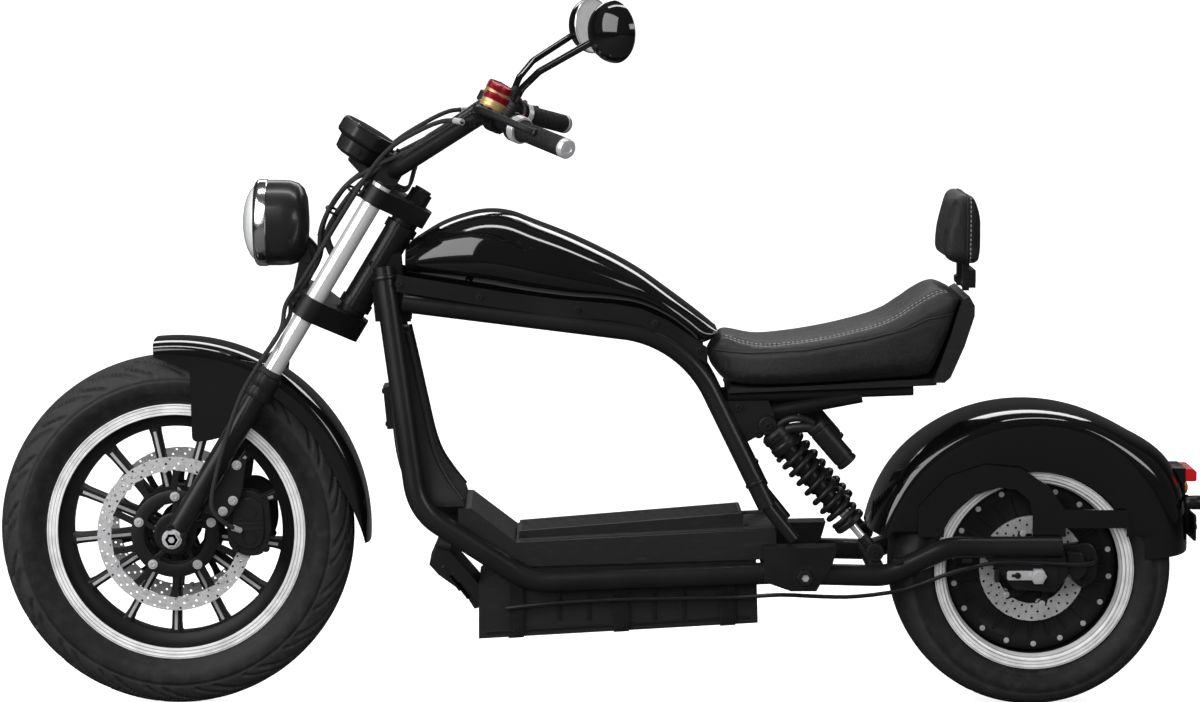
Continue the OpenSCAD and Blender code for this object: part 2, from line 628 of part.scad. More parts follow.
module fork_tubes() color("#d9dadd") steer() for (s = sides)
    translate([fork_offset, s * fork_y, leg_top_s - 120]) cylinder(h = fork_top_s - leg_top_s + 120,
        d = fork_tube_d);

module fork_legs() color("#1a1b1d") steer() for (s = sides) difference() {
    union() {
        translate([fork_offset, s * fork_y, axle_s + 18]) cylinder(h = leg_top_s - axle_s - 18,
            d = fork_leg_d);
        translate([fork_offset, s * fork_y, leg_top_s - 40]) cylinder(h = 40, d = fork_leg_d + 7);
        translate([fork_offset, s * fork_y, axle_s]) rotate([90, 0, 0]) cylinder(h = 30, r = 24,
            center = true);
    }
    translate([fork_offset, s * fork_y, leg_top_s - 121]) cylinder(h = 130, d = fork_tube_d + 0.6);
    translate([fork_offset, 0, axle_s]) rotate([90, 0, 0]) cylinder(h = 400, r = 8.05, center = true);
}
module front_axle() color("silver") at_front_axle() {
    rotate([90, 0, 0]) cylinder(h = 2 * fork_y + 34, r = 8, center = true);
    for (s = sides) translate([0, s * (fork_y + 21), 0]) rotate([90, 0, 0]) cylinder(h = 10, d = 26,
        center = true, $fn = 6);
    for (s = sides) translate([0, s * 71.6, 0]) rotate([90, 0, 0]) difference() {
        cylinder(h = 26, d = 30, center = true);
        cylinder(h = 30, r = 8, center = true);
    }
}

// Handlebar corners in the steering's own frame
bar_s = upper_clamp_s[1] + riser_h;
bar_mid = [bar_x, 79, bar_s];
bar_knee = [-19, 186, bar_s + 162];
bar_end = [-158, 366, bar_s + 193];
bar_dir = unit(bar_end - bar_knee);
grip_len = 118;
grip_d = 32.5;
module handlebar() color("#1b1c1e") steer()
    bent_tube([[bar_end.x, -bar_end.y, bar_end.z], [bar_knee.x, -bar_knee.y, bar_knee.z], [bar_mid.x,
        -bar_mid.y, bar_mid.z],
               bar_mid, bar_knee, bar_end], bar_d / 2, [45, 36, 36, 45]);
module on_bar(d) { // d along the bar from its outer end, +Z pointing outwards
    along(bar_end - bar_dir * d, bar_end) children();
}
module grips() color("#232325") steer() mirrored() {
    difference() {
        on_bar(grip_len) cylinder(h = grip_len - 6, d = grip_d);
        on_bar(grip_len + 1) cylinder(h = grip_len + 8, d = bar_d + 0.4);
    }
    on_bar(0.3) translate([0, 0, 0.6]) cylinder(h = 12, d = grip_d - 2);
}
module switch_housings() color("#1a1a1c") steer() mirrored() difference() {
    on_bar(grip_len + 28) cylinder(h = 26, d = 46);
    on_bar(grip_len + 70) cylinder(h = 80, d = bar_d + 0.4);
}
// The clamp of the lever starts this far from the bar's outer end
clamp_d = 204;
body_y = -27;
module brake_levers() color("#1f1f21") steer() mirrored() on_bar(clamp_d)
    bent_tube([[0, body_y - 19.8, 12], [0, body_y - 34, 38], [0, body_y - 24, 186]], 6.5, [16]);
module master_cylinders() color("#c8a24a") steer() mirrored() on_bar(clamp_d) difference() {
    union() {
        cylinder(h = 24, d = 42);
        translate([0, body_y, -6]) cylinder(h = 30, d = 26);
        translate([-8, -12, 3]) rotate([0, -90, 0]) cylinder(h = 30, d = 45);
        translate([-10, body_y - 2, 0]) cube([20, 30, 24]);
    }
    translate([0, 0, -60]) cylinder(h = 200, d = bar_d + 0.4);
}

// Ground points of the left mirror, and how much the right one stands forward
function to_steer(p) = let (x = p.x - head_x, z = p.z - head_z)
    [x * cos(rake) + z * sin(rake), p.y, z * cos(rake) - x * sin(rake)];
mirror_shift = [[0, 0, 0], [26, 0, -10]];
mirror_elbow = [832, 300, 1087];
// How far the glass is turned from straight back towards the rider, in degrees
mirror_turn = 47;
mirror_head = [722, 380, 1152];
module mirrors() color("#111112") steer() for (i = [0, 1]) mirror([0, i, 0]) {
    head = to_steer(mirror_head + mirror_shift[i]);
    elbow = to_steer(mirror_elbow + mirror_shift[i] / 2);
    foot = bar_end - bar_dir * 172;
    difference() {
        union() {
            translate(foot - bar_dir * 5) along([0, 0, 0], bar_dir) cylinder(h = 10, d = 38);
            bent_tube([foot, foot + 0.62 * (elbow - foot) + [4, -10, 6], elbow, head], 6, [30, 30]);
        }
        along(foot - bar_dir * 40, foot) cylinder(h = 80, d = bar_d + 0.4);
    }
    translate(head) rotate([0, rake, 0]) rotate([0, -90, mirror_turn]) rotate_extrude()
        polygon([[0, -24], [18, -22], [35, -15], [45.5, -5], [50, 6], [50, 12], [45.5, 14], [45.5, 11], [0,
            11]]);
}

module gauge() color("#131314") steer() {
    translate([128, 0, 208]) cylinder(h = 27, d = 82, $fn = 8);
    translate([128, 0, 235]) cylinder(h = 29, d = 104, $fn = 8);
    translate([fork_offset + 24.5, -20, upper_clamp_s[1] - 10]) cube([50, 40, 24]);
}

// Headlight, upright about its own middle
lamp = [172, 53];
lamp_d = 145;
module lamp_bowl() steer() upright(lamp.x, lamp.y)
    translate([-40, 0, 0]) rotate([0, 90, 0]) cylinder(h = 81, d = lamp_d);
module headlight_shell() color("#232426") {
    lamp_bowl();
    steer() in_xz(0, 44) polygon([[83.8, -56], [96, -56], [122, 20], [118, 44], [104, 30], [83.8, -24]]);
}
module headlight_lens() color("#d8dde0") steer() upright(lamp.x, lamp.y) {
    translate([41.3, 0, 0]) rotate([0, 90, 0]) cylinder(h = 12, d = 138);
    intersection() {
        translate([53, 0, 0]) scale([0.42, 1, 1]) sphere(r = 63);
        translate([52, -80, -80]) cube([60, 160, 160]);
    }
}

module front_fender() color("#050506") at_front_axle() {
    half = front_fender_w / 2;
    r = 328;
    difference() {
        rotate([90, 0, 0]) rotate([0, 0, 84]) rotate_extrude(angle = 99)
            polygon([[288, half], [r - 16, half], [r - 6, half - 14], [r, half - 38], [r, 38 - half],
                [r - 6, 14 - half], [r - 16, -half], [288, -half],
                     [288, sheet - half], [r - 17, sheet - half], [r - 8, 16 - half], [r - sheet,
                         40 - half], [r - sheet, half - 40], [r - 8, half - 16],
                     [r - 17, half - sheet], [288, half - sheet]]);
        for (s = sides) translate([0, s * half, 0]) in_xz(0, 30) polygon([[60, 200], [60, 306], [22, 297],
            [-26, 257], [-60, 257], [-60, 200]]);
        for (s = sides) translate([0, s * half, 0]) in_xz(0, 30)
            polygon([[-270.6, 98.5], [-288.4, 66.6], [-304.3, 32], [-318, -5.5], [-326, -34], [-280, -60],
                [-240, 60]]);
    }
    mirrored() {
        in_xz(half - sheet / 2 - 0.8, sheet) polygon([[-28, 312], [-31, 156], [-64, 160], [-118, 177],
            [-158, 262], [-140, 292]]);
        for (z = [190, 222]) translate([-z * tan(rake), 0, z]) {
            boss = fork_y - fork_leg_d / 2 - 0.3 - half + 2;
            across(half - 2 + boss / 2, boss) cylinder(h = boss, r = 7);
        }
    }
}

module front_calipers() color("#17181a") at_front_axle() mirrored() {
    difference() {
        in_xz(disc_y + 12, 48) polygon([[-84, 60], [-92, -20], [-118, -36], [-150, -34], [-164, 0], [-160,
            60], [-132, 78], [-100, 74]]);
        across(disc_y, 9) cylinder(h = 9, d = front_disc_d + 10);
    }
    in_xz(fork_y - 6, 8) polygon([[-47.6, 41], [-101.2, 130], [-124, 134], [-116, 70], [-92, 30]]);
}
// From the master cylinder past the clamps, then outside the leg to the caliper
hose_top = [[4, 200, 364], [30, 160, 348], [56, 116, 312], [84, 76, 256], [94, 62, 190], [97, 58, 90], [97,
    58, 0], [100, 66, -56]];
hose_low = [[1264, 106, 650], [1296, 130, 600], [1328, 132, 545], [1352, 131, 480], [1372, 129, 410],
    [1380, 123, 356], [1364, 112, 328], [1342, 100.6, 312]];
module brake_hoses() color("#121213") steer() mirrored()
    cable(curve([each hose_top, for (p = hose_low) to_steer(p)], 2), 4);

placed() head_frame();
placed() bottom_tubes();
placed() upper_frame();
placed() tank();
placed() seat_cushion();
placed() seat_base();
placed() backrest_pad();
placed() backrest_post();
placed() leg_box();
placed() footboard();
placed() battery_box();
placed() battery_lid();
placed() controller();
placed() swing_arm();
placed() rear_axle();
placed() shock_bodies();
placed() shock_springs();
placed() rear_fender();
placed() fender_stays();
placed() tail_lamp();
placed() plate_bracket();
placed() rear_caliper();
placed() rear_brake_line();
placed() rear_tyre();
placed() rear_wheel();
placed() rear_disc();
placed() lower_clamp();
placed() upper_clamp();
placed() fork_tubes();
placed() fork_legs();
placed() front_axle();
placed() handlebar();
placed() grips();
placed() switch_housings();
placed() brake_levers();
placed() master_cylinders();
placed() mirrors();
placed() gauge();
placed() headlight_shell();
placed() headlight_lens();
placed() front_fender();
placed() front_calipers();
placed() brake_hoses();
placed() front_tyre();
placed() front_wheel();
placed() front_discs();
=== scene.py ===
# Electric chopper scooter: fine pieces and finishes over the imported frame.
# Sizes are millimetres over the ground, with the rear axle over x = 0, as in the part's source;
# toRow moves them to the frame's metres.
import math
import bmesh
import bpy
import numpy as np
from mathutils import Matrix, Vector
from mathutils.bvhtree import BVHTree


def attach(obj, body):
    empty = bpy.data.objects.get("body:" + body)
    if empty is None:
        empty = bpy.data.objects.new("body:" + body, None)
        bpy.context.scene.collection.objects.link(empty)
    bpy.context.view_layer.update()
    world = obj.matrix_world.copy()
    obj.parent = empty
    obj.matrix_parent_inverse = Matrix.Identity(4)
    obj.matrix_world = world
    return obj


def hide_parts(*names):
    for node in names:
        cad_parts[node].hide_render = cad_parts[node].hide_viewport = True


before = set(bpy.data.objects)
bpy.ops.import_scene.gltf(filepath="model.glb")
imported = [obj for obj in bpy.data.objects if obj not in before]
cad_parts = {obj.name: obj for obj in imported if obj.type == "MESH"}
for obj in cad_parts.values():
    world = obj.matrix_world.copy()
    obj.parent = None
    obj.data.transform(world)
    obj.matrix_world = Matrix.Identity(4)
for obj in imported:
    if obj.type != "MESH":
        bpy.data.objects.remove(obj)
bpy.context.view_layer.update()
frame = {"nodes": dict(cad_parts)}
nodes = frame["nodes"]
scene = bpy.context.scene
mm = 0.001
saddle = np.array([450.0, 0.0, 628.0])
sides = (1, -1)


def toRow(p):  # ground millimetres to the frame's metres
    return (np.asarray(p, float) - saddle) * mm


steering = {"rake": math.radians(31), "point": (1142.0, 0.0, 687.0), "offset": 63.0, "legY": 100.0, "axle": -489.4}
steerAxes = np.array([[math.cos(steering["rake"]), 0, math.sin(steering["rake"])], [0, 1, 0],
                      [-math.sin(steering["rake"]), 0, math.cos(steering["rake"])]])
frontAxle = np.array([1448.0, 0.0, 300.0])
rearAxle = np.array([0.0, 0.0, 238.5])


def steerPoint(p):  # forward of the steering axis, left, and up along it, to ground millimetres
    return np.array(steering["point"]) + np.asarray(p, float) @ steerAxes


def onSide(p, s):  # points of the left side, or the same ones on the right where s is -1
    return np.asarray(p, float) * [1, s, 1]


def outward(a):  # the direction at angle a round a wheel, up from forward
    return np.array([math.cos(a), 0, math.sin(a)])


def unit(v):
    return v / np.maximum(np.linalg.norm(v, axis=-1, keepdims=True), 1e-9)


def ease(lo, hi, x):  # 0 below lo, 1 above hi, smooth between
    t = np.clip((x - lo) / (hi - lo), 0, 1)
    return t * t * (3 - 2 * t)


# Surfaces -----------------------------------------------------------------
class Shape:
    # Collects grids of points and flat faces, and turns them into one mesh
    def __init__(self):
        self.points, self.faces, self.mats, self.uvs, self.count = [], [], [], [], 0

    def grid(self, p, closeU=False, closeV=False, mat=0, size=(1, 1)):
        nu, nv = p.shape[:2]
        i, j = np.meshgrid(np.arange(nu if closeU else nu - 1), np.arange(nv if closeV else nv - 1), indexing="ij")
        a, b = (i + 1) % nu, (j + 1) % nv
        quads = np.stack([i * nv + j, a * nv + j, a * nv + b, i * nv + b], -1).reshape(-1, 4) + self.count
        du, dv = size[0] / max(nu - (not closeU), 1), size[1] / max(nv - (not closeV), 1)
        corners = [(i * du, j * dv), ((i + 1) * du, j * dv), ((i + 1) * du, (j + 1) * dv), (i * du, (j + 1) * dv)]
        self.uvs.append(np.stack([np.stack(c, -1) for c in corners], 2).reshape(-1, 2))
        self.points.append(p.reshape(-1, 3))
        self.faces += quads.tolist()
        self.mats += [mat] * len(quads)
        self.count += nu * nv
        return self

    def flat(self, ring, mat=0):
        self.points.append(np.asarray(ring, float))
        self.faces.append(list(range(self.count, self.count + len(ring))))
        self.uvs.append(np.zeros((len(ring), 2)))
        self.mats.append(mat)
        self.count += len(ring)
        return self

    def closed(self, p, mat=0, closeV=True, size=(1, 1)):  # rings along u, capped at both ends
        return self.grid(p, closeV=closeV, mat=mat, size=size).flat(p[0], mat).flat(p[-1], mat)

    def turned(self, profile, at, axis, count=48, mat=0):  # a lathed piece, closed at both ends
        return self.closed(lathe(profile, at, axis, count), mat)

    def plate(self, corners, radius, steps, lo, hi, bevel, mat=0, **place):  # a bevelled slab with rounded corners
        return self.closed(slab(rounded(corners, radius, steps), lo, hi, bevel, **place), mat)

    def make(self, name, mats, body, slot, replaces=(), sharp=38, turn=True):
        mesh = bpy.data.meshes.new(name)
        mesh.from_pydata(toRow(np.vstack(self.points)).tolist(), [], self.faces)
        mesh.polygons.foreach_set("material_index", self.mats)
        layer = mesh.uv_layers.new(name="UVMap")
        layer.data.foreach_set("uv", np.vstack(self.uvs).ravel())
        if turn:
            work = bmesh.new()
            work.from_mesh(mesh)
            bmesh.ops.remove_doubles(work, verts=work.verts, dist=2e-6)
            bmesh.ops.recalc_face_normals(work, faces=work.faces)
            work.to_mesh(mesh)
            work.free()
        mesh.polygons.foreach_set("use_smooth", [True] * len(mesh.polygons))
        mesh.set_sharp_from_angle(angle=math.radians(sharp))
        corners = np.empty(len(mesh.polygons), int)
        mesh.polygons.foreach_get("loop_total", corners)
        mesh.polygons.foreach_set("use_smooth", corners < 5)
        for m in mats:
            mesh.materials.append(m)
        piece = bpy.data.objects.new(name, mesh)
        scene.collection.objects.link(piece)
        return settle(piece, body, replaces)


def settle(piece, body, replaces=()):
    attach(piece, body)
    if replaces:
        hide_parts(*replaces)
    return piece


def circle(r, count=16, power=2.0):  # closed ring: a superellipse, round where power is 2
    a = np.linspace(0, 2 * np.pi, count, endpoint=False)
    c, s = np.cos(a), np.sin(a)
    return r * np.stack([np.sign(c) * abs(c) ** (2 / power), np.sign(s) * abs(s) ** (2 / power)], 1)


def curve(points, steps=8, closed=False):  # smooth cubic through the points, each span cut into steps
    p = np.asarray(points, float)
    n = len(p)
    i = np.arange(n if closed else n - 1)
    a, b, c, d = [p[(i + k) % n if closed else np.clip(i + k, 0, n - 1)][:, None] for k in (-1, 0, 1, 2)]
    t = (np.arange(steps) / steps)[None, :, None]
    q = 0.5 * (2 * b + (c - a) * t + (2 * a - 5 * b + 4 * c - d) * t ** 2 + (3 * b - a - 3 * c + d) * t ** 3)
    q = q.reshape(-1, p.shape[1])
    return q if closed else np.vstack([q, p[-1]])


def rounded(corners, radius, steps=5):  # closed outline whose corners are parabolic arcs
    p = np.asarray(corners, float)
    radius = np.broadcast_to(np.asarray(radius, float), (len(p),))[:, None]
    before, after = np.roll(p, 1, 0) - p, np.roll(p, -1, 0) - p
    a = p + unit(before) * np.minimum(radius, 0.48 * np.linalg.norm(before, axis=1, keepdims=True))
    b = p + unit(after) * np.minimum(radius, 0.48 * np.linalg.norm(after, axis=1, keepdims=True))
    t = np.linspace(0, 1, steps)[None, :, None]
    return ((1 - t) ** 2 * a[:, None] + 2 * t * (1 - t) * p[:, None] + t ** 2 * b[:, None]).reshape(-1, 2)


def bent(points, radii, steps=8):  # open path with a round elbow at each inner corner
    p = np.asarray(points, float)
    path = [p[:1]]
    for k, r in enumerate(radii):
        a, b = unit(p[k] - p[k + 1]), unit(p[k + 2] - p[k + 1])
        half = math.acos(float(np.clip(a @ b, -1, 1))) / 2
        centre = p[k + 1] + unit(a + b) * r / math.sin(half)
        start = p[k + 1] + a * r / math.tan(half) - centre
        across = unit(np.cross(np.cross(start, b), start)) * r
        t = np.linspace(0, math.pi - 2 * half, steps)[:, None]
        path.append(centre + start * np.cos(t) + across * np.sin(t))
    return np.vstack(path + [p[-1:]])


def carry(path, profile, hint=(0.0, 1.0, 0.0), closed=False, scale=None):
    # A profile of (across, up) carried along a path, its up side kept near the hint
    path = np.asarray(path, float)
    t = unit(np.roll(path, -1, 0) - np.roll(path, 1, 0)) if closed else unit(np.gradient(path, axis=0))
    across = unit(np.cross(t, hint))
    up = np.cross(across, t)
    size = 1 if scale is None else np.asarray(scale, float)[:, None, None]
    flat = np.asarray(profile, float)[None] * size
    return path[:, None] + flat[..., :1] * across[:, None] + flat[..., 1:] * up[:, None]


def basis(z, hint=(0.0, 0.0, 1.0)):
    z = unit(np.asarray(z, float))
    x = np.cross(hint, z)
    x = unit(x if np.linalg.norm(x) > 0.05 else np.cross((1.0, 0.0, 0.0), z))
    return np.array([x, np.cross(z, x), z])


def lathe(profile, origin, axis, count=48):
    # Rings about an axis, one for each (radius, height) of the profile
    profile = np.asarray(profile, float)[:, None]
    x, y, z = basis(axis)
    a = np.linspace(0, 2 * np.pi, count, endpoint=False)[:, None]
    return np.asarray(origin, float) + profile[..., :1] * (np.cos(a) * x + np.sin(a) * y) + profile[..., 1:] * z


def slab(outline, lo, hi, bevel, origin=(0, 0, 0), axes=((1, 0, 0), (0, 0, 1), (0, 1, 0))):
    # An outline raised from lo to hi, drawn in by the bevel at both faces
    o = np.asarray(outline, float)
    edge = np.roll(o, -1, 0) - np.roll(o, 1, 0)
    area = np.sum(o[:, 0] * np.roll(o[:, 1], -1) - o[:, 1] * np.roll(o[:, 0], -1))
    inward = unit(np.stack([-edge[:, 1], edge[:, 0]], 1)) * np.sign(area)
    axes = np.asarray(axes, float)
    level = [(lo, bevel), (lo + 0.3 * bevel, 0.3 * bevel), (lo + bevel, 0), (hi - bevel, 0),
        (hi - 0.3 * bevel, 0.3 * bevel), (hi, bevel)]
    rings = [(o + inward * inset) @ axes[:2] + h * axes[2] for h, inset in level]
    return np.asarray(origin, float) + np.array(rings)


def tube(shape, path, r, sides=14, mat=0, hint=(0.0, 1.0, 0.0), scale=None, size=(1, 1)):
    return shape.closed(carry(path, circle(r, sides), hint, scale=scale), mat, size=size)


def bolt(shape, at, axis, d=14, h=6, mat=0, count=6, washer=True):
    # Six-sided head with a chamfered top over a round washer
    r = d / 2
    if washer:
        shape.turned([(0.1, 0), (r * 1.35, 0), (r * 1.35, 1.2), (0.1, 1.2)], at, axis, 16, mat)
    head = [(r, 0), (r, h * 0.8), (r * 0.86, h), (r * 0.45, h), (r * 0.4, h * 0.45)]
    shape.turned(head, at, axis, count, mat)
    return shape


# Finishes -----------------------------------------------------------------
class Value:
    # A shader socket that takes part in plain arithmetic
    def __init__(self, shader, socket):
        self.shader, self.socket = shader, socket

    def math(self, operation, *inputs):
        return self.shader.node("ShaderNodeMath", {"operation": operation}, dict(enumerate(inputs)))

    def __add__(self, other):
        return self.math("ADD", self, other)

    def __sub__(self, other):
        return self.math("SUBTRACT", self, other)

    def __rsub__(self, other):
        return self.math("SUBTRACT", other, self)

    def __mul__(self, other):
        return self.math("MULTIPLY", self, other)

    def __truediv__(self, other):
        return self.math("DIVIDE", self, other)

    def __pow__(self, other):
        return self.math("POWER", self, other)

    def sin(self):
        return self.math("SINE", self)

    def clip(self, lo=0.0, hi=1.0):
        return self.math("MINIMUM", self.math("MAXIMUM", self, lo), hi)

    def rise(self, lo, hi):  # 0 below lo, 1 above hi, smooth between
        t = ((self - lo) / (hi - lo)).clip()
        return t * t * (3 - t * 2)

    __radd__, __rmul__ = __add__, __mul__


class Shader:
    def __init__(self, name):
        self.material = bpy.data.materials.new(name)
        self.material.use_nodes = True
        self.tree = self.material.node_tree
        self.surface = self.tree.nodes["Principled BSDF"]
        self.place = self.node("ShaderNodeTexCoord", out="Object")

    def node(self, kind, settings=None, inputs=None, out=0):
        item = self.tree.nodes.new(kind)
        for key, value in (settings or {}).items():
            setattr(item, key, value)
        for key, value in (inputs or {}).items():
            self.feed(item.inputs[key], value)
        return Value(self, item.outputs[out])

    def feed(self, socket, value):
        if isinstance(value, Value):
            self.tree.links.new(value.socket, socket)
        elif socket.type == "RGBA":
            socket.default_value = (*value[:3], 1.0)
        else:
            socket.default_value = value

    def mix(self, factor, a, b):
        return self.node("ShaderNodeMix", {"data_type": "RGBA"}, {0: factor, 6: a, 7: b}, out=2)

    def noise(self, scale, detail=3.0, where=None, rough=0.5):
        inputs = {"Vector": where or self.place, "Scale": scale, "Detail": detail, "Roughness": rough}
        return self.node("ShaderNodeTexNoise", {}, inputs)

    def cells(self, scale):
        return self.node("ShaderNodeTexVoronoi", {"feature": "DISTANCE_TO_EDGE"},
            {"Vector": self.place, "Scale": scale})

    def axis(self, index, where=None):
        return self.node("ShaderNodeSeparateXYZ", {}, {0: where or self.place}, out=index)

    def stretched(self, scale):  # Object coordinates scaled apart along x, y and z
        return self.node("ShaderNodeMapping", {}, {"Vector": self.place, "Scale": scale})

    def radius(self, centre):  # distance from a wheel's axle, in metres
        x, z = toRow(centre)[0], toRow(centre)[2]
        return ((self.axis(0) - x) ** 2 + (self.axis(2) - z) ** 2) ** 0.5

    def bump(self, height, strength, distance):
        return self.node("ShaderNodeBump", {}, {"Height": height, "Strength": strength, "Distance": distance})

    def done(self, **sockets):
        for key, value in sockets.items():
            words = {"BaseColor": "Base Color", "CoatWeight": "Coat Weight", "CoatRoughness": "Coat Roughness",
                     "SheenWeight": "Sheen Weight", "Transmission": "Transmission Weight",
                     "Specular": "Specular IOR Level",
                     "EmissionColor": "Emission Color", "EmissionStrength": "Emission Strength"}
            self.feed(self.surface.inputs[words.get(key, key)], value)
        return self.material


def paint(name, colour, rough, coat=0.0, grain=0.25, grainScale=900, metal=0.0, patch=0.35, specular=0.5):
    # Sprayed or powder-coated metal: cloudy tone, uneven sheen and a fine grain
    s = Shader(name)
    cloud = s.noise(9, 4)
    speck = s.noise(grainScale, 2)
    tone = s.mix(cloud.rise(0.35, 0.7) * patch + speck * 0.15, colour, [c * 1.7 + 0.004 for c in colour])
    sheen = (rough + (cloud - 0.5) * 0.12 + (speck - 0.5) * 0.06).clip(0.03, 1)
    return s.done(BaseColor=tone, Roughness=sheen, Metallic=metal, CoatWeight=coat, CoatRoughness=0.06, IOR=1.42,
                  Specular=specular, Normal=s.bump(speck + cloud * 0.3, grain, 0.0004))


def plastic(name, colour, rough, grain=0.5):
    # Moulded plastic: leathery mould grain and faint scuffs
    s = Shader(name)
    scuff = s.noise(40, 5, s.stretched((1, 1, 6)))
    mould = s.cells(1300)
    tone = s.mix(scuff.rise(0.55, 0.75) * 0.5, colour, [c * 1.9 + 0.006 for c in colour])
    return s.done(BaseColor=tone, Roughness=(rough + (scuff - 0.5) * 0.2).clip(0.1, 1), IOR=1.45,
                  Normal=s.bump(mould * 0.6 + scuff * 0.4, grain, 0.0003))


def tyreRubber(name, axle, wall):
    # Tyre rubber: tread lighter than the side wall, patchy dust, moulded rings on the side wall and a fine grain
    s = Shader(name)
    r = s.radius(axle)
    dust = s.noise(60, 6)
    fine = s.noise(1800, 2)
    tread = r.rise(wall - 0.004, wall + 0.004)
    rings = (r * 2400).sin() * (1 - tread)
    tone = s.mix(dust.rise(0.4, 0.75) * 0.3 + tread * 0.55, (0.006, 0.006, 0.0065), (0.040, 0.039, 0.039))
    sheen = (0.62 + tread * 0.14 + (dust - 0.5) * 0.2).clip(0.2, 1)
    return s.done(BaseColor=tone, Roughness=sheen, IOR=1.45,
        Normal=s.bump(rings * 0.25 + fine * 0.6 + dust * 0.5, 0.35, 0.0006))


def vinyl(name, colour, rough):
    # Upholstery vinyl: pebbled grain, creases and a slight sheen
    s = Shader(name)
    pebble = s.cells(620)
    crease = s.noise(70, 5, rough=0.6)
    grain = pebble.rise(0.0, 0.25)
    tone = s.mix(grain * 0.6 + crease.rise(0.4, 0.7) * 0.4, colour, [c * 1.8 + 0.005 for c in colour])
    return s.done(BaseColor=tone, Roughness=(rough + (crease - 0.5) * 0.25 - grain * 0.06).clip(0.15, 1), IOR=1.5,
                  SheenWeight=0.03, Normal=s.bump(grain + crease * 0.6, 0.55, 0.0005))


def turned(name, colour, axle, rough=0.24, pitch=5200, metal=0.45, grooveShade=0.0):
    # Lathe-turned or circularly brushed metal: fine rings about an axle, with rings of painted shade for turned
    # grooves where asked
    s = Shader(name)
    r = s.radius(axle)
    smear = s.noise(35, 5)
    line = s.noise(1.0, 2, s.node("ShaderNodeCombineXYZ", {}, {0: r * 900, 1: smear * 2, 2: 0.0}))
    ring = (r * pitch).sin() * 0.5 + line
    # painted shade: darker rings of colour stand for the shade inside the turned grooves
    groove = (r * pitch * 0.22).sin().rise(0.35, 0.95)
    tone = s.mix(smear.rise(0.35, 0.75) * 0.3 + groove * grooveShade, colour, [c * 0.3 for c in colour])
    return s.done(BaseColor=tone, Metallic=metal, Roughness=(rough + line * 0.16 + (smear - 0.5) * 0.12).clip(0.05, 1),
                  Normal=s.bump(ring, 0.12, 0.0002))


def bright(name, colour, rough, smudge=0.08, scale=60, metal=0.75):
    # Plated or anodised metal: smudged sheen and faint scratches
    s = Shader(name)
    film = s.noise(scale, 5)
    scratch = s.noise(900, 3, s.stretched((1, 1, 0.08)))
    tone = s.mix(film.rise(0.4, 0.8) * 0.5, colour, [c * 0.8 for c in colour])
    return s.done(BaseColor=tone, Metallic=metal, Roughness=(rough + film.rise(0.4,
        0.75) * smudge + scratch * 0.04).clip(0.02, 1),
                  Normal=s.bump(scratch, 0.05, 0.0002))


def braided(name, colour):
    # Braided sleeve: two sets of threads that cross over the cable's own map, u along it
    s = Shader(name)
    uv = s.node("ShaderNodeTexCoord", out="UV")
    u, v = s.axis(0, uv), s.axis(1, uv)
    left, right = ((u + v) * 6.2832).sin(), ((u - v) * 6.2832).sin()
    weave = left.math("MAXIMUM", left, right)
    wear = s.noise(120, 4)
    tone = s.mix(weave.rise(0.1, 0.9) * 0.8 + wear * 0.2, colour, [c * 2.6 + 0.01 for c in colour])
    return s.done(BaseColor=tone, Roughness=(0.55 + wear * 0.2).clip(), Normal=s.bump(weave + wear * 0.3, 0.8, 0.0006))


def lens(name, colour, rough, transmission, ribs=0.0):
    # Lamp glass: faint haze and, where asked, upright flutes
    s = Shader(name)
    haze = s.noise(140, 4)
    height = (s.axis(1) * ribs).sin() + haze * 0.3 if ribs else haze
    return s.done(BaseColor=s.mix(haze.rise(0.45, 0.8) * 0.3, colour, [c * 0.85 for c in colour]),
        Roughness=(rough + haze * 0.05).clip(),
                  Transmission=transmission, IOR=1.46, CoatWeight=0.3,
                  Normal=s.bump(height, 0.3 if ribs else 0.05, 0.0006))


frameBlack = paint("FrameBlack", (0.007, 0.007, 0.0073), 0.34, coat=0.1, grain=0.2, specular=0.42)
castBlack = paint("CastBlack", (0.008, 0.008, 0.0083), 0.4, grain=0.45, grainScale=700, specular=0.4)
glossBlack = paint("GlossBlack", (0.0030, 0.0030, 0.0033), 0.10, coat=1.0, grain=0.03, grainScale=260, patch=0.1,
    specular=0.35)
boxBlack = plastic("BoxBlack", (0.011, 0.011, 0.0115), 0.5)
partBlack = plastic("PartBlack", (0.007, 0.007, 0.0073), 0.36, 0.25)
gripRubber = plastic("GripRubber", (0.014, 0.014, 0.014), 0.6, 0.8)
seatVinyl = vinyl("SaddleVinyl", (0.0040, 0.0040, 0.0043), 0.40)
thread = vinyl("Thread", (0.30, 0.30, 0.31), 0.6)
frontRubber = tyreRubber("FrontRubber", frontAxle, 0.262)
rearRubber = tyreRubber("RearRubber", rearAxle, 0.206)
# both lips get rings of painted shade for their turned grooves
frontLip = turned("FrontLip", (0.97, 0.97, 0.98), frontAxle, rough=0.3, metal=0.15, grooveShade=0.7)
rearLip = turned("RearLip", (0.97, 0.97, 0.98), rearAxle, rough=0.3, metal=0.15, grooveShade=0.6)
frontDisc = turned("FrontDiscSteel", (0.60, 0.60, 0.61), frontAxle, metal=0.3, rough=0.36, pitch=9000)
rearDisc = turned("RearDiscSteel", (0.50, 0.50, 0.51), rearAxle, metal=0.3, rough=0.36, pitch=9000)
chrome = bright("Chrome", (0.97, 0.97, 0.98), 0.14, metal=0.6)
boltSteel = bright("BoltSteel", (0.70, 0.70, 0.72), 0.3, scale=300, metal=0.5)
boltBlack = bright("BoltBlack", (0.035, 0.035, 0.037), 0.36, scale=300)
lampRing = bright("LampRing", (0.95, 0.95, 0.96), 0.12, metal=1.0)
goldAlloy = bright("GoldAlloy", (0.66, 0.46, 0.20), 0.32, scale=200, metal=0.6)
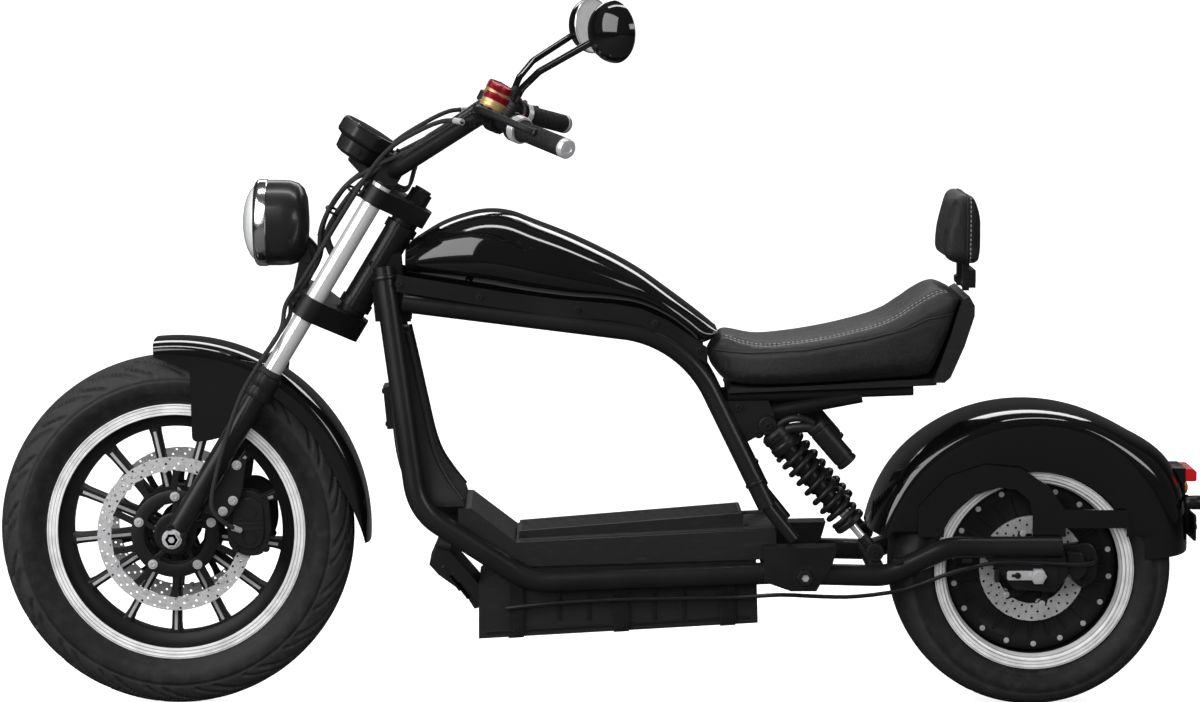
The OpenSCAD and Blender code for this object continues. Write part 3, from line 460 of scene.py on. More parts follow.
redAlloy = bright("RedAlloy", (0.34, 0.012, 0.022), 0.3, scale=200, metal=0.6)
mirrorFace = bright("MirrorFace", (0.97, 0.97, 0.98), 0.16, smudge=0.04, metal=0.25)
braid = braided("BraidedSleeve", (0.010, 0.010, 0.011))
hoseBlack = plastic("HoseBlack", (0.009, 0.009, 0.010), 0.4, 0.2)
clearLens = lens("ClearLens", (0.90, 0.91, 0.92), 0.12, 0.25, ribs=700)
redLens = lens("RedLens", (0.62, 0.008, 0.012), 0.12, 0.0)
print("finishes ready")

finishes = {
    frameBlack: ["head_frame", "bottom_tubes", "upper_frame", "swing_arm", "fork_legs", "handlebar", "backrest_post"],
    castBlack: ["lower_clamp", "upper_clamp", "front_calipers", "rear_caliper", "controller", "shock_bodies",
    "shock_springs",
                "rear_wheel", "front_wheel", "brake_levers"],
    glossBlack: ["tank", "rear_fender", "front_fender", "headlight_shell", "mirrors", "fender_stays"],
    boxBlack: ["battery_box", "battery_lid", "footboard", "leg_box", "seat_base"],
    partBlack: ["switch_housings", "gauge", "plate_bracket"],
    seatVinyl: ["seat_cushion", "backrest_pad"],
    gripRubber: ["grips"], frontRubber: ["front_tyre"], rearRubber: ["rear_tyre"], chrome: ["fork_tubes"],
    boltSteel: ["front_axle", "rear_axle"], frontDisc: ["front_discs"], rearDisc: ["rear_disc"],
    goldAlloy: ["master_cylinders"],
    redLens: ["tail_lamp"], clearLens: ["headlight_lens"], hoseBlack: ["brake_hoses", "rear_brake_line"],
}
for finish, names in finishes.items():
    for name in names:
        nodes[name].data.materials.clear()
        nodes[name].data.materials.append(finish)


def smooth(table, x):  # the table's columns at x, by smooth steps between rows sorted by their first column
    table, x = np.asarray(table, float), np.atleast_1d(np.asarray(x, float))
    rise = np.diff(table[:, 1:], axis=0) / np.diff(table[:, 0])[:, None]
    middle = (table[2:, 1:] - table[:-2, 1:]) / (table[2:, 0] - table[:-2, 0])[:, None]
    slopes = np.vstack([rise[:1], middle, rise[-1:]])
    i = np.clip(np.searchsorted(table[:, 0], x, side="right") - 1, 0, len(table) - 2)
    h = (table[i + 1, 0] - table[i, 0])[:, None]
    t = (x[:, None] - table[i, 0][:, None]) / h
    return ((2 * t ** 3 - 3 * t ** 2 + 1) * table[i, 1:] + (t ** 3 - 2 * t ** 2 + t) * slopes[i] * h
            + (3 * t ** 2 - 2 * t ** 3) * table[i + 1, 1:] + (t ** 3 - t ** 2) * slopes[i + 1] * h)


def turnAbout(section, axle, count, depth=None):
    # A closed section of (y, r) turned about the axle; depth(angle, y, r) is cut along the section's normal
    y, r = section[:, 0], section[:, 1]
    tangent = unit(np.roll(section, -1, 0) - np.roll(section, 1, 0))
    normal = np.stack([tangent[:, 1], -tangent[:, 0]], 1)
    normal *= np.sign(np.sum(normal * (section - [0, r.min() + 20]), 1))[:, None]
    a = np.linspace(0, 2 * np.pi, count, endpoint=False)[:, None]
    cut = 0 if depth is None else depth(a, y[None], r[None])
    yy, rr = y - cut * normal[:, 0], r - cut * normal[:, 1]
    return axle + np.stack([rr * np.cos(a), yy + 0 * a, rr * np.sin(a)], -1)


def tyreSection(half, count):  # rounded outline from bead to bead over the tread, then back inside the bead
    right = curve(half, count)
    return np.vstack([right[::-1] * [1, 1], right[1:] * [-1, 1]])


# Front tyre: revolved section, with crooked grooves over the shoulders
frontTread = {"half": [(0, 299.6), (19, 297.6), (36, 291), (49, 280), (57, 268), (59.6, 255), (57, 241), (50, 229),
    (43, 220), (37, 213)],
              "pitches": 20, "depth": 5.5}


def frontGroove(a, y, r):
    q = abs(y)
    turn = a * frontTread["pitches"] / (2 * np.pi) + np.where(y > 0, 0.0, 0.5)
    long = np.interp(q, [4, 20, 27, 46, 57], [0.0, 0.42, 0.30, 0.95, 1.25])
    short = np.interp(q, [24, 36, 41, 56], [0.85, 1.18, 1.1, 1.6])
    lane = lambda line, width: ease(width, width * 0.5, abs((turn - line) % 1 - 0.5))
    onTread = ease(263, 267, r)
    cut = lane(long + 0.5, 0.10) * ease(3, 8, q) + lane(short + 0.5, 0.075) * ease(22, 28, q)
    ring = 1.5 * ease(2.4, 0.9, abs(r - 261)) + 0.5 * ease(1.4, 0.5, abs(r - 228))
    return frontTread["depth"] * np.clip(cut, 0, 1) * onTread * ease(60, 52, q) + ring


shape = Shape()
shape.grid(turnAbout(tyreSection(frontTread["half"], 6), frontAxle, 840, frontGroove), True)
shape.make("FrontTyre", [frontRubber], "front_wheel_body", "tyre_rubber", ["front_tyre"], sharp=50)

# Rear tyre: wide and almost slick, with shallow waves over the shoulders
rearTread = {"half": [(0, 238.3), (35, 237.2), (60, 234), (80, 228.6), (94, 221.5), (103, 212), (106.8, 201),
    (104.5, 190), (98, 179), (90, 171), (83, 164)]}


def rearGroove(a, y, r):
    q = abs(y)
    turn = a * 12 / (2 * np.pi) + np.where(y > 0, 0.0, 0.5)
    line = np.interp(q, [18, 40, 66, 88], [0.0, 0.28, 0.4, 0.9])
    wide = np.interp(q, [18, 60, 88], [0.018, 0.05, 0.01])
    cut = ease(wide, wide * 0.3, abs((turn - line) % 1 - 0.5)) * ease(16, 22, q) * ease(92, 84, q)
    middle = ease(4.2, 3.0, abs(y)) * 0.7
    ring = 0.8 * ease(1.8, 0.7, abs(r - 208)) * (q > 80) + 0.6 * ease(1.5, 0.6, abs(r - 178))
    return 4.0 * np.maximum(cut, middle) + ring


shape = Shape()
shape.grid(turnAbout(tyreSection(rearTread["half"], 6), rearAxle, 720, rearGroove), True)
shape.make("RearTyre", [rearRubber], "rear_wheel_body", "tyre_rubber", ["rear_tyre"], sharp=50)
print("tyres ready")


def spin(shape, section, axle, count=120, mat=0):  # closed section of (y, r) turned about the axle
    return shape.grid(turnAbout(np.asarray(section, float), axle, count), True, True, mat)


def mirrorSection(half):  # the section's left half, then the same points on the right
    half = np.asarray(half, float)
    return np.vstack([half, half[::-1] * [-1, 1]])


def wheelBolts(shape, axle, r, y, count, d, h, mat, first=0.0, face=1):
    for a in first + np.arange(count) * 2 * np.pi / count:
        bolt(shape, axle + np.array([r * math.cos(a), y * face, r * math.sin(a)]), (0, face, 0), d, h, mat)


def drilled(shape, axle, y, thick, rows, mat=0):
    # A disc drilled in rings of cells: in each, a square of the ring shrinks smoothly to the hole's circle
    b = np.linspace(0, 2 * np.pi, 24, endpoint=False) + np.pi / 24
    square = np.stack([np.cos(b), np.sin(b)], 1) / np.maximum(abs(np.cos(b)), abs(np.sin(b)))[:, None]
    for inner, outer, hole, count, shift in rows:
        mid, half, step = (inner + outer) / 2, (outer - inner) / 2, np.pi / count
        a = (np.arange(count) + shift)[:, None] * 2 * np.pi / count
        edgeA, edgeR = a + square[:, 0] * step, mid + square[:, 1] * half + 0 * a
        holeX, holeR = np.cos(b) * hole, mid + np.sin(b) * hole
        for k in range(count):
            rim = np.stack([edgeR[k] * np.cos(edgeA[k]), edgeR[k] * np.sin(edgeA[k])], 1)
            turn = a[k, 0] + holeX / holeR
            ring = np.stack([holeR * np.cos(turn), holeR * np.sin(turn)], 1)
            levels = [(rim, thick / 2), (ring, thick / 2), (ring, -thick / 2), (rim, -thick / 2)]
            p = np.stack([np.stack([q[:, 0], np.full(len(q), h), q[:, 1]], 1) for q, h in levels], 1)
            shape.grid(axle + [0, y, 0] + p, True, False, mat)
    for r in (rows[0][0], rows[-1][1]):
        shape.grid(turnAbout(np.array([[y + thick / 2, r], [y - thick / 2, r]]), axle, 160), True, False, mat)


def arms(shape, axle, y, thick, inner, outer, count, width, sweep, mat, first=0.0):
    # Curved arms that widen to both ends
    t = np.linspace(0, 1, 9)
    for k in range(count):
        a = first + 2 * np.pi * k / count + sweep * (t - 0.5)
        line = np.stack([(inner + (outer - inner) * t) * np.cos(a), (inner + (outer - inner) * t) * np.sin(a)], 1)
        side = unit(np.gradient(line, axis=0)) @ np.array([[0, 1], [-1, 0]])
        half = (width / 2 * (1 + 0.3 * (2 * t - 1) ** 4))[:, None]
        outline = np.vstack([line + side * half, (line - side * half)[::-1]])
        shape.closed(slab(outline, y - thick / 2, y + thick / 2, 0.8, axle), mat)


# Front wheel: turned lips, black barrel, spokes with bright edges, hub, carriers and drilled discs
wheel = {"spokes": 13, "first": math.radians(22.3), "lip": [(39.2, 218.3), (43, 218.3), (44.2, 217), (44.2, 214),
    (42.8, 213.4), (42.8, 212.6),
         (44.1, 212), (44.1, 207.4), (42.8, 206.8), (42.8, 206), (44, 205.4), (44, 200.6), (43, 199.6)]}
shape = Shape()
spin(shape, mirrorSection([(39, 218.2), (42.6, 199.9), (37, 198.5), (28, 192), (23, 184), (20, 178), (0, 177)]),
    frontAxle, 160, 0)
for s in sides:
    spin(shape, np.array(wheel["lip"] + [(36, 199.5), (36, 210)]) * [s, 1], frontAxle, 160, 1)
for k in range(wheel["spokes"]):
    a = wheel["first"] + 2 * np.pi * k / wheel["spokes"]
    out = outward(a)
    reach = np.array([46, 60, 90, 130, 165, 176, 181])
    size = np.array([1.5, 1.2, 1.0, 0.93, 1.0, 1.2, 1.5])
    bar = rounded([(-7.6, -20), (7.6, -20), (7.6, 20), (-7.6, 20)], 3.5, 4)
    p = carry(frontAxle + reach[:, None] * out, bar)
    middle = frontAxle + reach[:, None] * out
    across = np.cross(out, (0, 1, 0))
    shift = ((p - middle[:, None]) @ across)[..., None] * (size - 1)[:, None, None] * across
    shape.closed(p + shift, 0)
    for s in sides:
        strip = rounded([(-2.6, -0.5), (2.6, -0.5), (2.6, 0.6), (-2.6, 0.6)], 0.3, 2)
        shape.closed(carry(frontAxle + np.array([62, 90, 130, 172])[:, None] * out + [0, 20.1 * s, 0], strip), 2)
spin(shape, mirrorSection([(12, 78), (20, 77), (23, 74), (24, 56), (22, 52), (12, 51)]), frontAxle, 90, 0)
spin(shape, mirrorSection([(30, 30), (44, 29), (57, 26), (57, 10)]), frontAxle, 64, 0)
for k in range(5):
    a = 0.3 + 2 * np.pi * k / 5
    out = outward(a)
    web = rounded([(-5, -20), (5, -20), (5, 20), (-5, 20)], 3, 4)
    shape.closed(carry(frontAxle + np.array([26, 40, 56])[:, None] * out, web), 0)
for s in sides:
    wheelBolts(shape, frontAxle, 66, 23.4, 5, 13, 5, 2, 0.3, s)
shape.make("FrontWheel", [castBlack, frontLip, boltSteel], "front_wheel_body", "cast_black", ["front_wheel"])

shape = Shape()
for s in sides:
    drilled(shape, frontAxle, 60 * s, 4, [(107.5, 115.5, 2.1, 36, 0.0), (115.5, 123.5, 2.1, 36, 0.33),
        (123.5, 131, 2.1, 36, 0.66)], 0)
    arms(shape, frontAxle, 60.5 * s, 5, 70, 108, 10, 11, 0.06, 1, 0.32)
    spin(shape, np.array([(58, 52), (63, 52), (64, 54), (64, 72), (63, 74), (58, 74)]) * [s, 1], frontAxle, 90, 1)
    arms(shape, frontAxle, 61 * s, 4, 28, 56, 5, 8, 0.2, 1, 0.3)
    spin(shape, np.array([(56, 24), (62.6, 24), (63.6, 26), (63.6, 34), (62.6, 36), (56, 36)]) * [s, 1], frontAxle, 60,
        1)
    wheelBolts(shape, frontAxle, 110.5, 61.8, 10, 8, 1.6, 2, 0.17, s)
    wheelBolts(shape, frontAxle, 64, 64, 5, 12, 4, 2, 0.32, s)
shape.make("FrontDiscs", [frontDisc, castBlack, boltSteel], "front_wheel_body", "disc_steel", ["front_discs"])

# Rear wheel: stepped bright lip, black barrel and the motor cover with its ribs and screws
shape = Shape()
for s in sides:
    lip = [(88, 168.3), (92, 168.3), (93, 167), (93, 163.5), (91, 162.8), (91, 161.6), (92.6, 161), (92.6, 156),
        (90.4, 154.6), (86, 153.6), (84.8, 150.4),
           (80, 148), (66, 146), (66, 150), (80, 160)]
    spin(shape, np.array(lip) * [s, 1], rearAxle, 160, 1)
    cover = [(20, 146), (44, 143.5), (46, 141), (46.5, 126), (44.5, 123), (44.5, 84), (48, 78), (52, 74), (52.5, 44),
        (62, 40), (63.4, 38), (63.4, 12), (20, 12)]
    spin(shape, np.array(cover) * [s, 1], rearAxle, 120, 0)
    for a in np.arange(24) * 2 * np.pi / 24:
        out = outward(a)
        rib = rounded([(-2.2, -3), (2.2, -3), (1.6, 2.6), (-1.6, 2.6)], 0.8, 3) * [1, s]
        shape.closed(carry(rearAxle + np.array([80, 100, 124])[:, None] * out + [0, 45.6 * s, 0], rib), 0)
    wheelBolts(shape, rearAxle, 133.5, 46.3, 18, 7, 3, 2, 0.13, s)
    wheelBolts(shape, rearAxle, 62, 52.2, 6, 9, 4, 2, 0.3, s)
spin(shape, mirrorSection([(88, 168), (84, 161), (66, 152), (20, 147), (20, 140)]), rearAxle, 120, 0)
shape.make("RearWheel", [castBlack, rearLip, boltSteel], "rear_wheel_body", "cast_black", ["rear_wheel"])

shape = Shape()
drilled(shape, rearAxle, 66, 4, [(60, 70, 2.2, 24, 0.0), (70, 80, 2.2, 24, 0.5), (80, 90, 2.2, 24, 0.0)], 0)
arms(shape, rearAxle, 66, 5, 30, 64, 6, 12, 0.5, 1)
spin(shape, [(64, 20), (69, 20), (69, 32), (64, 34)], rearAxle, 48, 1)
wheelBolts(shape, rearAxle, 62.5, 68, 6, 8, 1.8, 2, 0.25)
shape.make("RearDisc", [rearDisc, castBlack, boltSteel], "rear_wheel_body", "disc_steel", ["rear_disc"])
print("wheels ready")

# Tank: the part's own sections with finer steps, kept clear of the head tube
tankRows = [(534, 644, 638, 60, 2.2), (546, 655, 624, 66, 2.2), (562, 668, 620, 73, 2.3), (580, 682, 636, 77, 2.3),
    (614, 707, 662, 84, 2.4),
            (662, 741, 684, 88, 2.5), (709, 768, 692, 98, 2.5), (776, 800, 697, 110, 2.6), (842, 826, 705, 117, 2.6),
            (880, 840, 711, 118, 2.6),
            (913, 844, 717, 117, 2.6), (946, 840, 722, 114, 2.6), (994, 824, 729, 100, 2.5), (1032, 802, 735, 80, 2.4),
            (1058, 784, 740, 60, 2.2)]
x = 534 + 524 * np.linspace(0, 1, 140)
top, low, wide, power = [c[:, None] for c in smooth(tankRows, x).T]
b = np.linspace(0, 2 * np.pi, 128, endpoint=False)[None]
mid = low + 0.36 * (top - low)
across = wide * np.sign(np.cos(b)) * abs(np.cos(b)) ** (2 / power)
up = mid + np.where(np.sin(b) > 0, top - mid, mid - low) * np.sign(np.sin(b)) * abs(np.sin(b)) ** (2 / power)
rake = math.tan(steering["rake"])
clear = 1142 - (up - 687) * rake - np.sqrt(np.maximum(33.4 ** 2 - across ** 2, 0)) / math.cos(steering["rake"])
clear = np.where(abs(across) < 33.4, clear, 2000)
shape = Shape()
shape.closed(np.stack([np.minimum(x[:, None] + 0 * b, clear), across, up], -1))
shape.make("TankShell", [glossBlack], "frame", "gloss_black", ["tank"], sharp=60)

# Rear fender: crowned sheet, with flat skirts cut level above the axle
fenderRows = [(12, 286, 256), (37, 289, 256), (60, 284, 253), (84, 278, 253), (105, 277, 253), (125, 281, 246),
    (140, 294, 236), (150, 290, 230),
              (163, 276, 222), (173, 268, 216)]
a = np.linspace(13.8, 173, 130)
crown, crease = [c[:, None] for c in smooth(fenderRows, a).T]
ray = np.radians(a)[:, None]
level = (np.where(a < 62, 68.3, 49.0) + 14.0 * ease(100, 160, a))[:, None]  # height of the skirt over the axle
foot = np.minimum(level / np.sin(ray), 182.5 / np.maximum(-np.cos(ray), 0.05))
foot = np.clip(foot, 172, crease - 2)


def bentSheet(axle, ray, side, thick=3):
    # A sheet bent about the axle along the rays: side(inset) gives half of each section, as y and r, from its foot to
    # the crown; the sheet's two faces meet along the feet, and strips close its ends
    (outerY, outerR), (innerY, innerR) = side(0), side(thick)
    y = np.concatenate([outerY, -outerY[:, -2::-1], -innerY, innerY[:, -2::-1]], 1)
    r = np.concatenate([outerR, outerR[:, -2::-1], innerR, innerR[:, -2::-1]], 1)
    sections = axle + np.stack([r * np.cos(ray), y, r * np.sin(ray)], -1)
    middle = r.shape[1] // 2
    shape = Shape().grid(sections, False, True)
    for edge in (sections[0], sections[-1]):
        shape.grid(np.stack([edge[:middle], edge[middle:][::-1]], 0))
    return shape


def fenderSide(inset, half=120):
    q = np.linspace(0, np.pi / 2, 22)[None, ::-1]
    y = (half - inset) * np.sin(q) ** 0.8 + 0 * ray
    r = crease + (crown - inset - crease) * np.cos(q) ** 0.8
    t = np.linspace(0, 1, 8)[None, :-1]
    skirt = half - inset - 5 * (1 - t) ** 2 + 0 * ray  # the flat side leans in a little towards its edge
    return np.concatenate([skirt, y], 1), np.concatenate([foot + (crease - foot) * t, r], 1)


shape = bentSheet(rearAxle, ray, fenderSide)
shape.make("RearFender", [glossBlack], "frame", "gloss_black", ["rear_fender"], sharp=42)

# Front fender: thin crowned sheet over the tyre, with the plates that hold it to the legs
a = np.linspace(84, 183, 100)
ray = np.radians(a)[:, None]
edgeR = np.interp(a, [84, 90, 97, 110, 158, 167, 174, 181, 183], [302, 288, 276, 288, 288, 296, 306, 318, 321])[:,
    None]


def hoodSide(inset):  # level skirt up to the shoulder, then the crown
    crown = curve([(70, 308), (69.2, 313), (66, 317.6), (58, 322.4), (42, 326.4), (20, 328), (0, 328.4)], 6)
    side = np.linspace(0, 1, 8)[None, :-1]
    skirt = np.minimum(edgeR, 307) + (308 - np.minimum(edgeR, 307)) * side
    r = np.concatenate([skirt, 0 * ray + crown[:, 1] - inset], 1)
    y = np.concatenate([0 * ray + 70 + 0 * side, 0 * ray + crown[:, 0]], 1) * (1 - inset / 70)
    return y, np.maximum(r, edgeR)


shape = bentSheet(frontAxle, ray, hoodSide)
plate = rounded([(-28, 311), (-31, 156), (-64, 160), (-118, 177), (-158, 262), (-140, 291)], [2, 12, 10, 16, 20, 4], 6)
for s in sides:
    shape.closed(slab(plate, 66.4 * s, 69.4 * s, 0.6 * s, frontAxle))
    for z in (190, 222):
        at = frontAxle + [-z * rake, 69 * s, z]
        shape.turned([(0.1, 0), (7, 0), (7, 11.4), (0.1, 11.4)], at, (0, s, 0), 20)
shape.make("FrontFender", [glossBlack], "steering", "gloss_black", ["front_fender"], sharp=42)
print("tank and fenders ready")

# Shocks: coil, chrome rod, knurled collar, reservoir and eyes
shock = {"foot": (271, 108, 275), "top": (452, 112, 490), "coil": 23.5, "wire": 4.8, "turns": 8}
shape = Shape()
for s in sides:
    foot, head = onSide(shock["foot"], s), onSide(shock["top"], s)
    long = np.linalg.norm(head - foot)
    x, y, z = basis(head - foot, (0, 1, 0))
    t = np.linspace(0, 1, shock["turns"] * 26)
    a = (2 * np.pi * shock["turns"] * t)[:, None]
    h = 76 + (long - 134) * (t - 0.028 * np.sin(2 * np.pi * t))
    path = foot + shock["coil"] * (np.cos(a) * x + np.sin(a) * y) + h[:, None] * z
    tube(shape, path, shock["wire"], 12, hint=z)
shape.make("ShockCoils", [castBlack], "frame", "cast_black", ["shock_springs"])
shape = Shape()
for s in sides:
    foot, head = onSide(shock["foot"], s), onSide(shock["top"], s)
    long, axis = np.linalg.norm(head - foot), head - foot
    rings = lambda profile, m: shape.turned(profile, foot, axis, 40, m)
    rings([(0.1, 10), (9, 10), (10, 14), (10, 30), (9, 34), (0.1, 34)], 0)
    rings([(0.1, 33), (6.5, 33), (6.5, 90), (0.1, 90)], 1)
    rings([(8, 62), (26, 62), (28, 64), (28, 71), (26, 73), (8, 73)], 0)
    rings([(0.1, 88), (14.6, 88), (15.5, 90), (15.5, 96), (14.6, 98),
        (14.6, 100)] + [(14.6 + 0.9 * (k % 2), 102 + 3 * k) for k in range(40)] + [(14.6, long - 48),
        (0.1, long - 48)], 0)
    rings([(8, long - 52), (24, long - 52), (25.5, long - 50), (25.5, long - 40), (23, long - 37), (23, long - 30),
        (25, long - 28), (25, long - 18), (20, long - 13), (0.1, long - 13)], 0)
    for p in (foot, head):
        eye = [(8, 13.4), (14, 13.4), (15, 12.4), (15, -12.4), (14, -13.4), (8, -13.4), (8, 0)]
        shape.grid(lathe(eye, p, (0, 1, 0), 32), True, True, 0)
        bolt(shape, p + [0, 13 * s, 0], (0, s, 0), 15, 7, 2)
        tube(shape, [p - [0, 13, 0], p + [0, 13, 0]], 7.8, 20, 2)
    can = [onSide(q, s) for q in ((374, 130, 492.4), (318, 130, 427.6))]
    canLong = np.linalg.norm(can[1] - can[0])
    body = [(0.1, 0), (16, 0), (18.3, 2), (18.3, 9), (17.2, 10), (17.2, 12), (18.3, 13), (18.3, canLong - 12),
        (17, canLong - 11), (17, canLong - 8), (18.3, canLong - 7),
            (18.3, canLong - 2), (16, canLong), (9, canLong), (8, canLong - 2), (0.1, canLong - 2)]
    shape.turned(body, can[0], can[1] - can[0], 40, 0)
    tube(shape, curve(onSide([(438, 116, 486), (420, 124, 500), (396, 129, 503), (376, 130, 494)], s), 6), 6, 12, 0)
    tube(shape, curve(onSide([(436, 116, 478), (410, 122, 486), (384, 128, 488), (368, 130, 484)], s), 6), 9, 14, 0)
shape.make("ShockBodies", [castBlack, chrome, boltBlack], "frame", "cast_black", ["shock_bodies"])

# Rear swing arm: adjusters, axle nuts, pivot caps and cable clips
shape = Shape()
for s in sides:
    plate = rounded([(-12, 231), (52, 231), (52, 247), (-12, 247)], 5, 5)
    shape.closed(slab(plate, 138.2 * s, 142.4 * s, 0.8 * s), 0)
    shape.plate([(-34, 222), (-14, 218), (-14, 258), (-34, 256)], 5, 5, 138.2 * s, 140.2 * s, 0.6 * s, mat=1)
    bolt(shape, (0, 142.4 * s, 238.5), (0, s, 0), 18, 9, 0)
    tube(shape, [(0, 150 * s, 238.5), (0, 156 * s, 238.5)], 7.8, 20, 0)
    bolt(shape, (34, 142.4 * s, 239), (0, s, 0), 8, 5, 2)
    tube(shape, [(30, 142.6 * s, 239), (44, 142.6 * s, 239)], 2.6, 10, 2)
    shape.plate([(66, 229), (73, 229), (73, 251), (66, 251)], 1.5, 4, 138.3 * s, 152 * s, 0.8 * s, mat=1)
    bolt(shape, (391, 157.8 * s, 240), (0, s, 0), 30, 14, 2)
    for x in (120, 236):
        shape.plate([(x - 8, 262), (x + 8, 262), (x + 8, 270), (x - 8, 270)], 3, 4, 150 * s, 154 * s, 0.6 * s, mat=1)
shape.make("ArmDetails", [boltSteel, castBlack, boltBlack], "frame", "axle_steel")

# Tail lamp with a fluted lens in a black frame, indicators, and the plate holder with a folded edge
shape = Shape()
lampOutline = [(-253.4, 380), (-240.6, 405.6), (-262, 405.6), (-262, 380)]
shape.plate(lampOutline, 2, 4, -42, 42, 1.0, mat=1)
for k in range(15):
    y = -38.5 + 5.5 * k
    shape.plate([(-261, 382.5), (-279, 382.5), (-280.6, 385), (-280.6, 399), (-275, 404), (-261, 404)], 2, 4, y - 2.7,
        y + 2.7, 0.8)
shape.make("TailLamp", [redLens, partBlack], "frame", "red_lens", ["tail_lamp"])
shape = Shape()
profile = np.array([(-256.4, 377), (-259.2, 352), (-262.8, 330), (-266, 300), (-268, 291), (-272.3, 291),
    (-272.3, 332), (-265, 352), (-261.3, 377)])
shape.plate(profile, 3, 4, -30, 30, 1.2)
shape.plate([(-74, 285), (74, 285), (74, 329.6), (-74, 329.6)], 7, 6, -276, -272.3, 0.6,
    axes=((0, 1, 0), (0, 0, 1), (1, 0, 0)))
for s in sides:
    bolt(shape, (-276.2, 60 * s, 308), (-1, 0, 0), 9, 3, 1)
    tube(shape, curve([(-266, 28 * s, 354), (-267, 60 * s, 354), (-268, 88 * s, 353)], 6), 4.4, 12, 0)
    bullet = [(0.1, -14), (6, -13.6), (9.5, -11), (11.6, -5), (12, 2), (12, 14), (11.4, 15), (0.1, 15)]
    at = np.array((-266, 86 * s, 353.5))
    shape.turned(bullet, at, (-1, 0, 0), 28, 0)
    glass = [(0.1, 15), (11, 15), (11.2, 17), (9.4, 19.4), (5, 21), (0.1, 21.5)]
    shape.turned(glass, at, (-1, 0, 0), 28, 2)
amberLens = lens("AmberLens", (0.75, 0.22, 0.02), 0.15, 0.0)
shape.make("PlateHolder", [partBlack, boltSteel, amberLens], "frame", "black_plastic", ["plate_bracket"])

# Rear caliper: stepped body with ribs, slide pins and its bracket bolts
shape = Shape()
caliper = rounded([(-46, 282), (-96, 288), (-108, 262), (-103, 222), (-82, 208), (-66, 220), (-60, 250)],
    [5, 12, 14, 10, 10, 6, 10], 5)
shape.closed(slab(caliper, 71.4, 97.6, 3), 0)
shape.plate([(-66, 284), (-94, 284), (-102, 262), (-99, 228), (-90, 240), (-86, 262)], 4, 4, 54.6, 60.6, 2)
for z in (232, 258):
    tube(shape, [(-88, 97, z), (-88, 101.4, z)], 11, 24, 0)
    bolt(shape, (-88, 101.4, z), (0, 1, 0), 10, 4, 1)
bolt(shape, (-64, 97.6, 270), (0, 1, 0), 12, 6, 1)
shape.plate([(-50, 276), (-76, 276), (-84, 240), (-66, 226), (-52, 240)], 6, 5, 98, 129.4, 2)
shape.make("RearCaliper", [castBlack, boltBlack], "frame", "cast_black", ["rear_caliper"])
print("rear ready")

# Floor: battery straps and screws, ledge seam, deck trim, leg panel ribs, controller fins
shape = Shape()
for s in sides:
    for x in (873, 696, 517):
        z = 152 - (x - 466) * 0.0566
        strap = rounded([(x - 12, z + 2), (x + 12, z + 2), (x + 12, 236), (x - 12, 236)], 3, 4)
        shape.closed(slab(strap, 98.2 * s, 107.6 * s, 1.2 * s), 0)
        for zz in (z + 12, 222):
            bolt(shape, (x, 107.4 * s, zz), (0, s, 0), 10, 4.6, 1)
    for x in (590, 640, 750, 800):
        shape.plate([(x - 3, 158), (x + 3, 158), (x + 3, 240), (x - 3, 240)], 1.5, 4, 97.6 * s, 101 * s, 0.8 * s)
    shape.plate([(480, 160), (922, 135), (922, 139), (480, 164.5)], 1.2, 3, 97.6 * s, 100.6 * s, 0.6 * s)
    for p in ((940, 178), (952, 190), (966, 204)):
        shape.plate([(p[0] - 3, p[1]), (p[0] + 4, p[1] - 4), (p[0] + 34, p[1] + 36), (p[0] + 28, p[1] + 42)], 1.2, 3,
            40 * s, 60.4 * s, 0.8 * s)
shape.make("BatteryDetails", [partBlack, boltBlack], "frame", "black_plastic")

shape = Shape()
for k in range(9):
    y = -48 + 12 * k
    ridge = np.array([(864, 303.2), (680, 318.1), (497, 332.7)])
    path = np.stack([ridge[:, 0], np.full(3, y), ridge[:, 1]], 1)
    shape.closed(carry(curve(path, 6), rounded([(-2, -1), (2, -1), (1.4, 1.2), (-1.4, 1.2)], 0.4, 3), (0.08, 0, 1)), 0)
for s in sides:
    for k in range(3):
        y = s * (74 + 10 * k)
        path = [(866, y, 292.2), (660, y, 302.7), (436, y, 314)]
        shape.closed(carry(curve(path, 6), rounded([(-2, -1), (2, -1), (1.4, 1.1), (-1.4, 1.1)], 0.4, 3),
            (0.05, 0, 1)), 0)
    for x in (486, 862):
        z = 293 + (880 - x) * 0.0491
        bolt(shape, (x, 69 * s, z), (0.05, 0, 1), 7, 2.4, 1)
shape.make("DeckDetails", [gripRubber, boltBlack], "frame", "black_plastic")

shape = Shape()
for s in sides:
    edge = [(1055, 642, 56), (1041, 580, 57), (1026, 510, 60), (1015, 460, 66), (1003, 424, 74), (984, 392, 84),
        (962, 362, 94)]
    path = curve([(x, y * s, z) for x, z, y in edge], 8)
    tube(shape, path, 4.2, 12, 0)
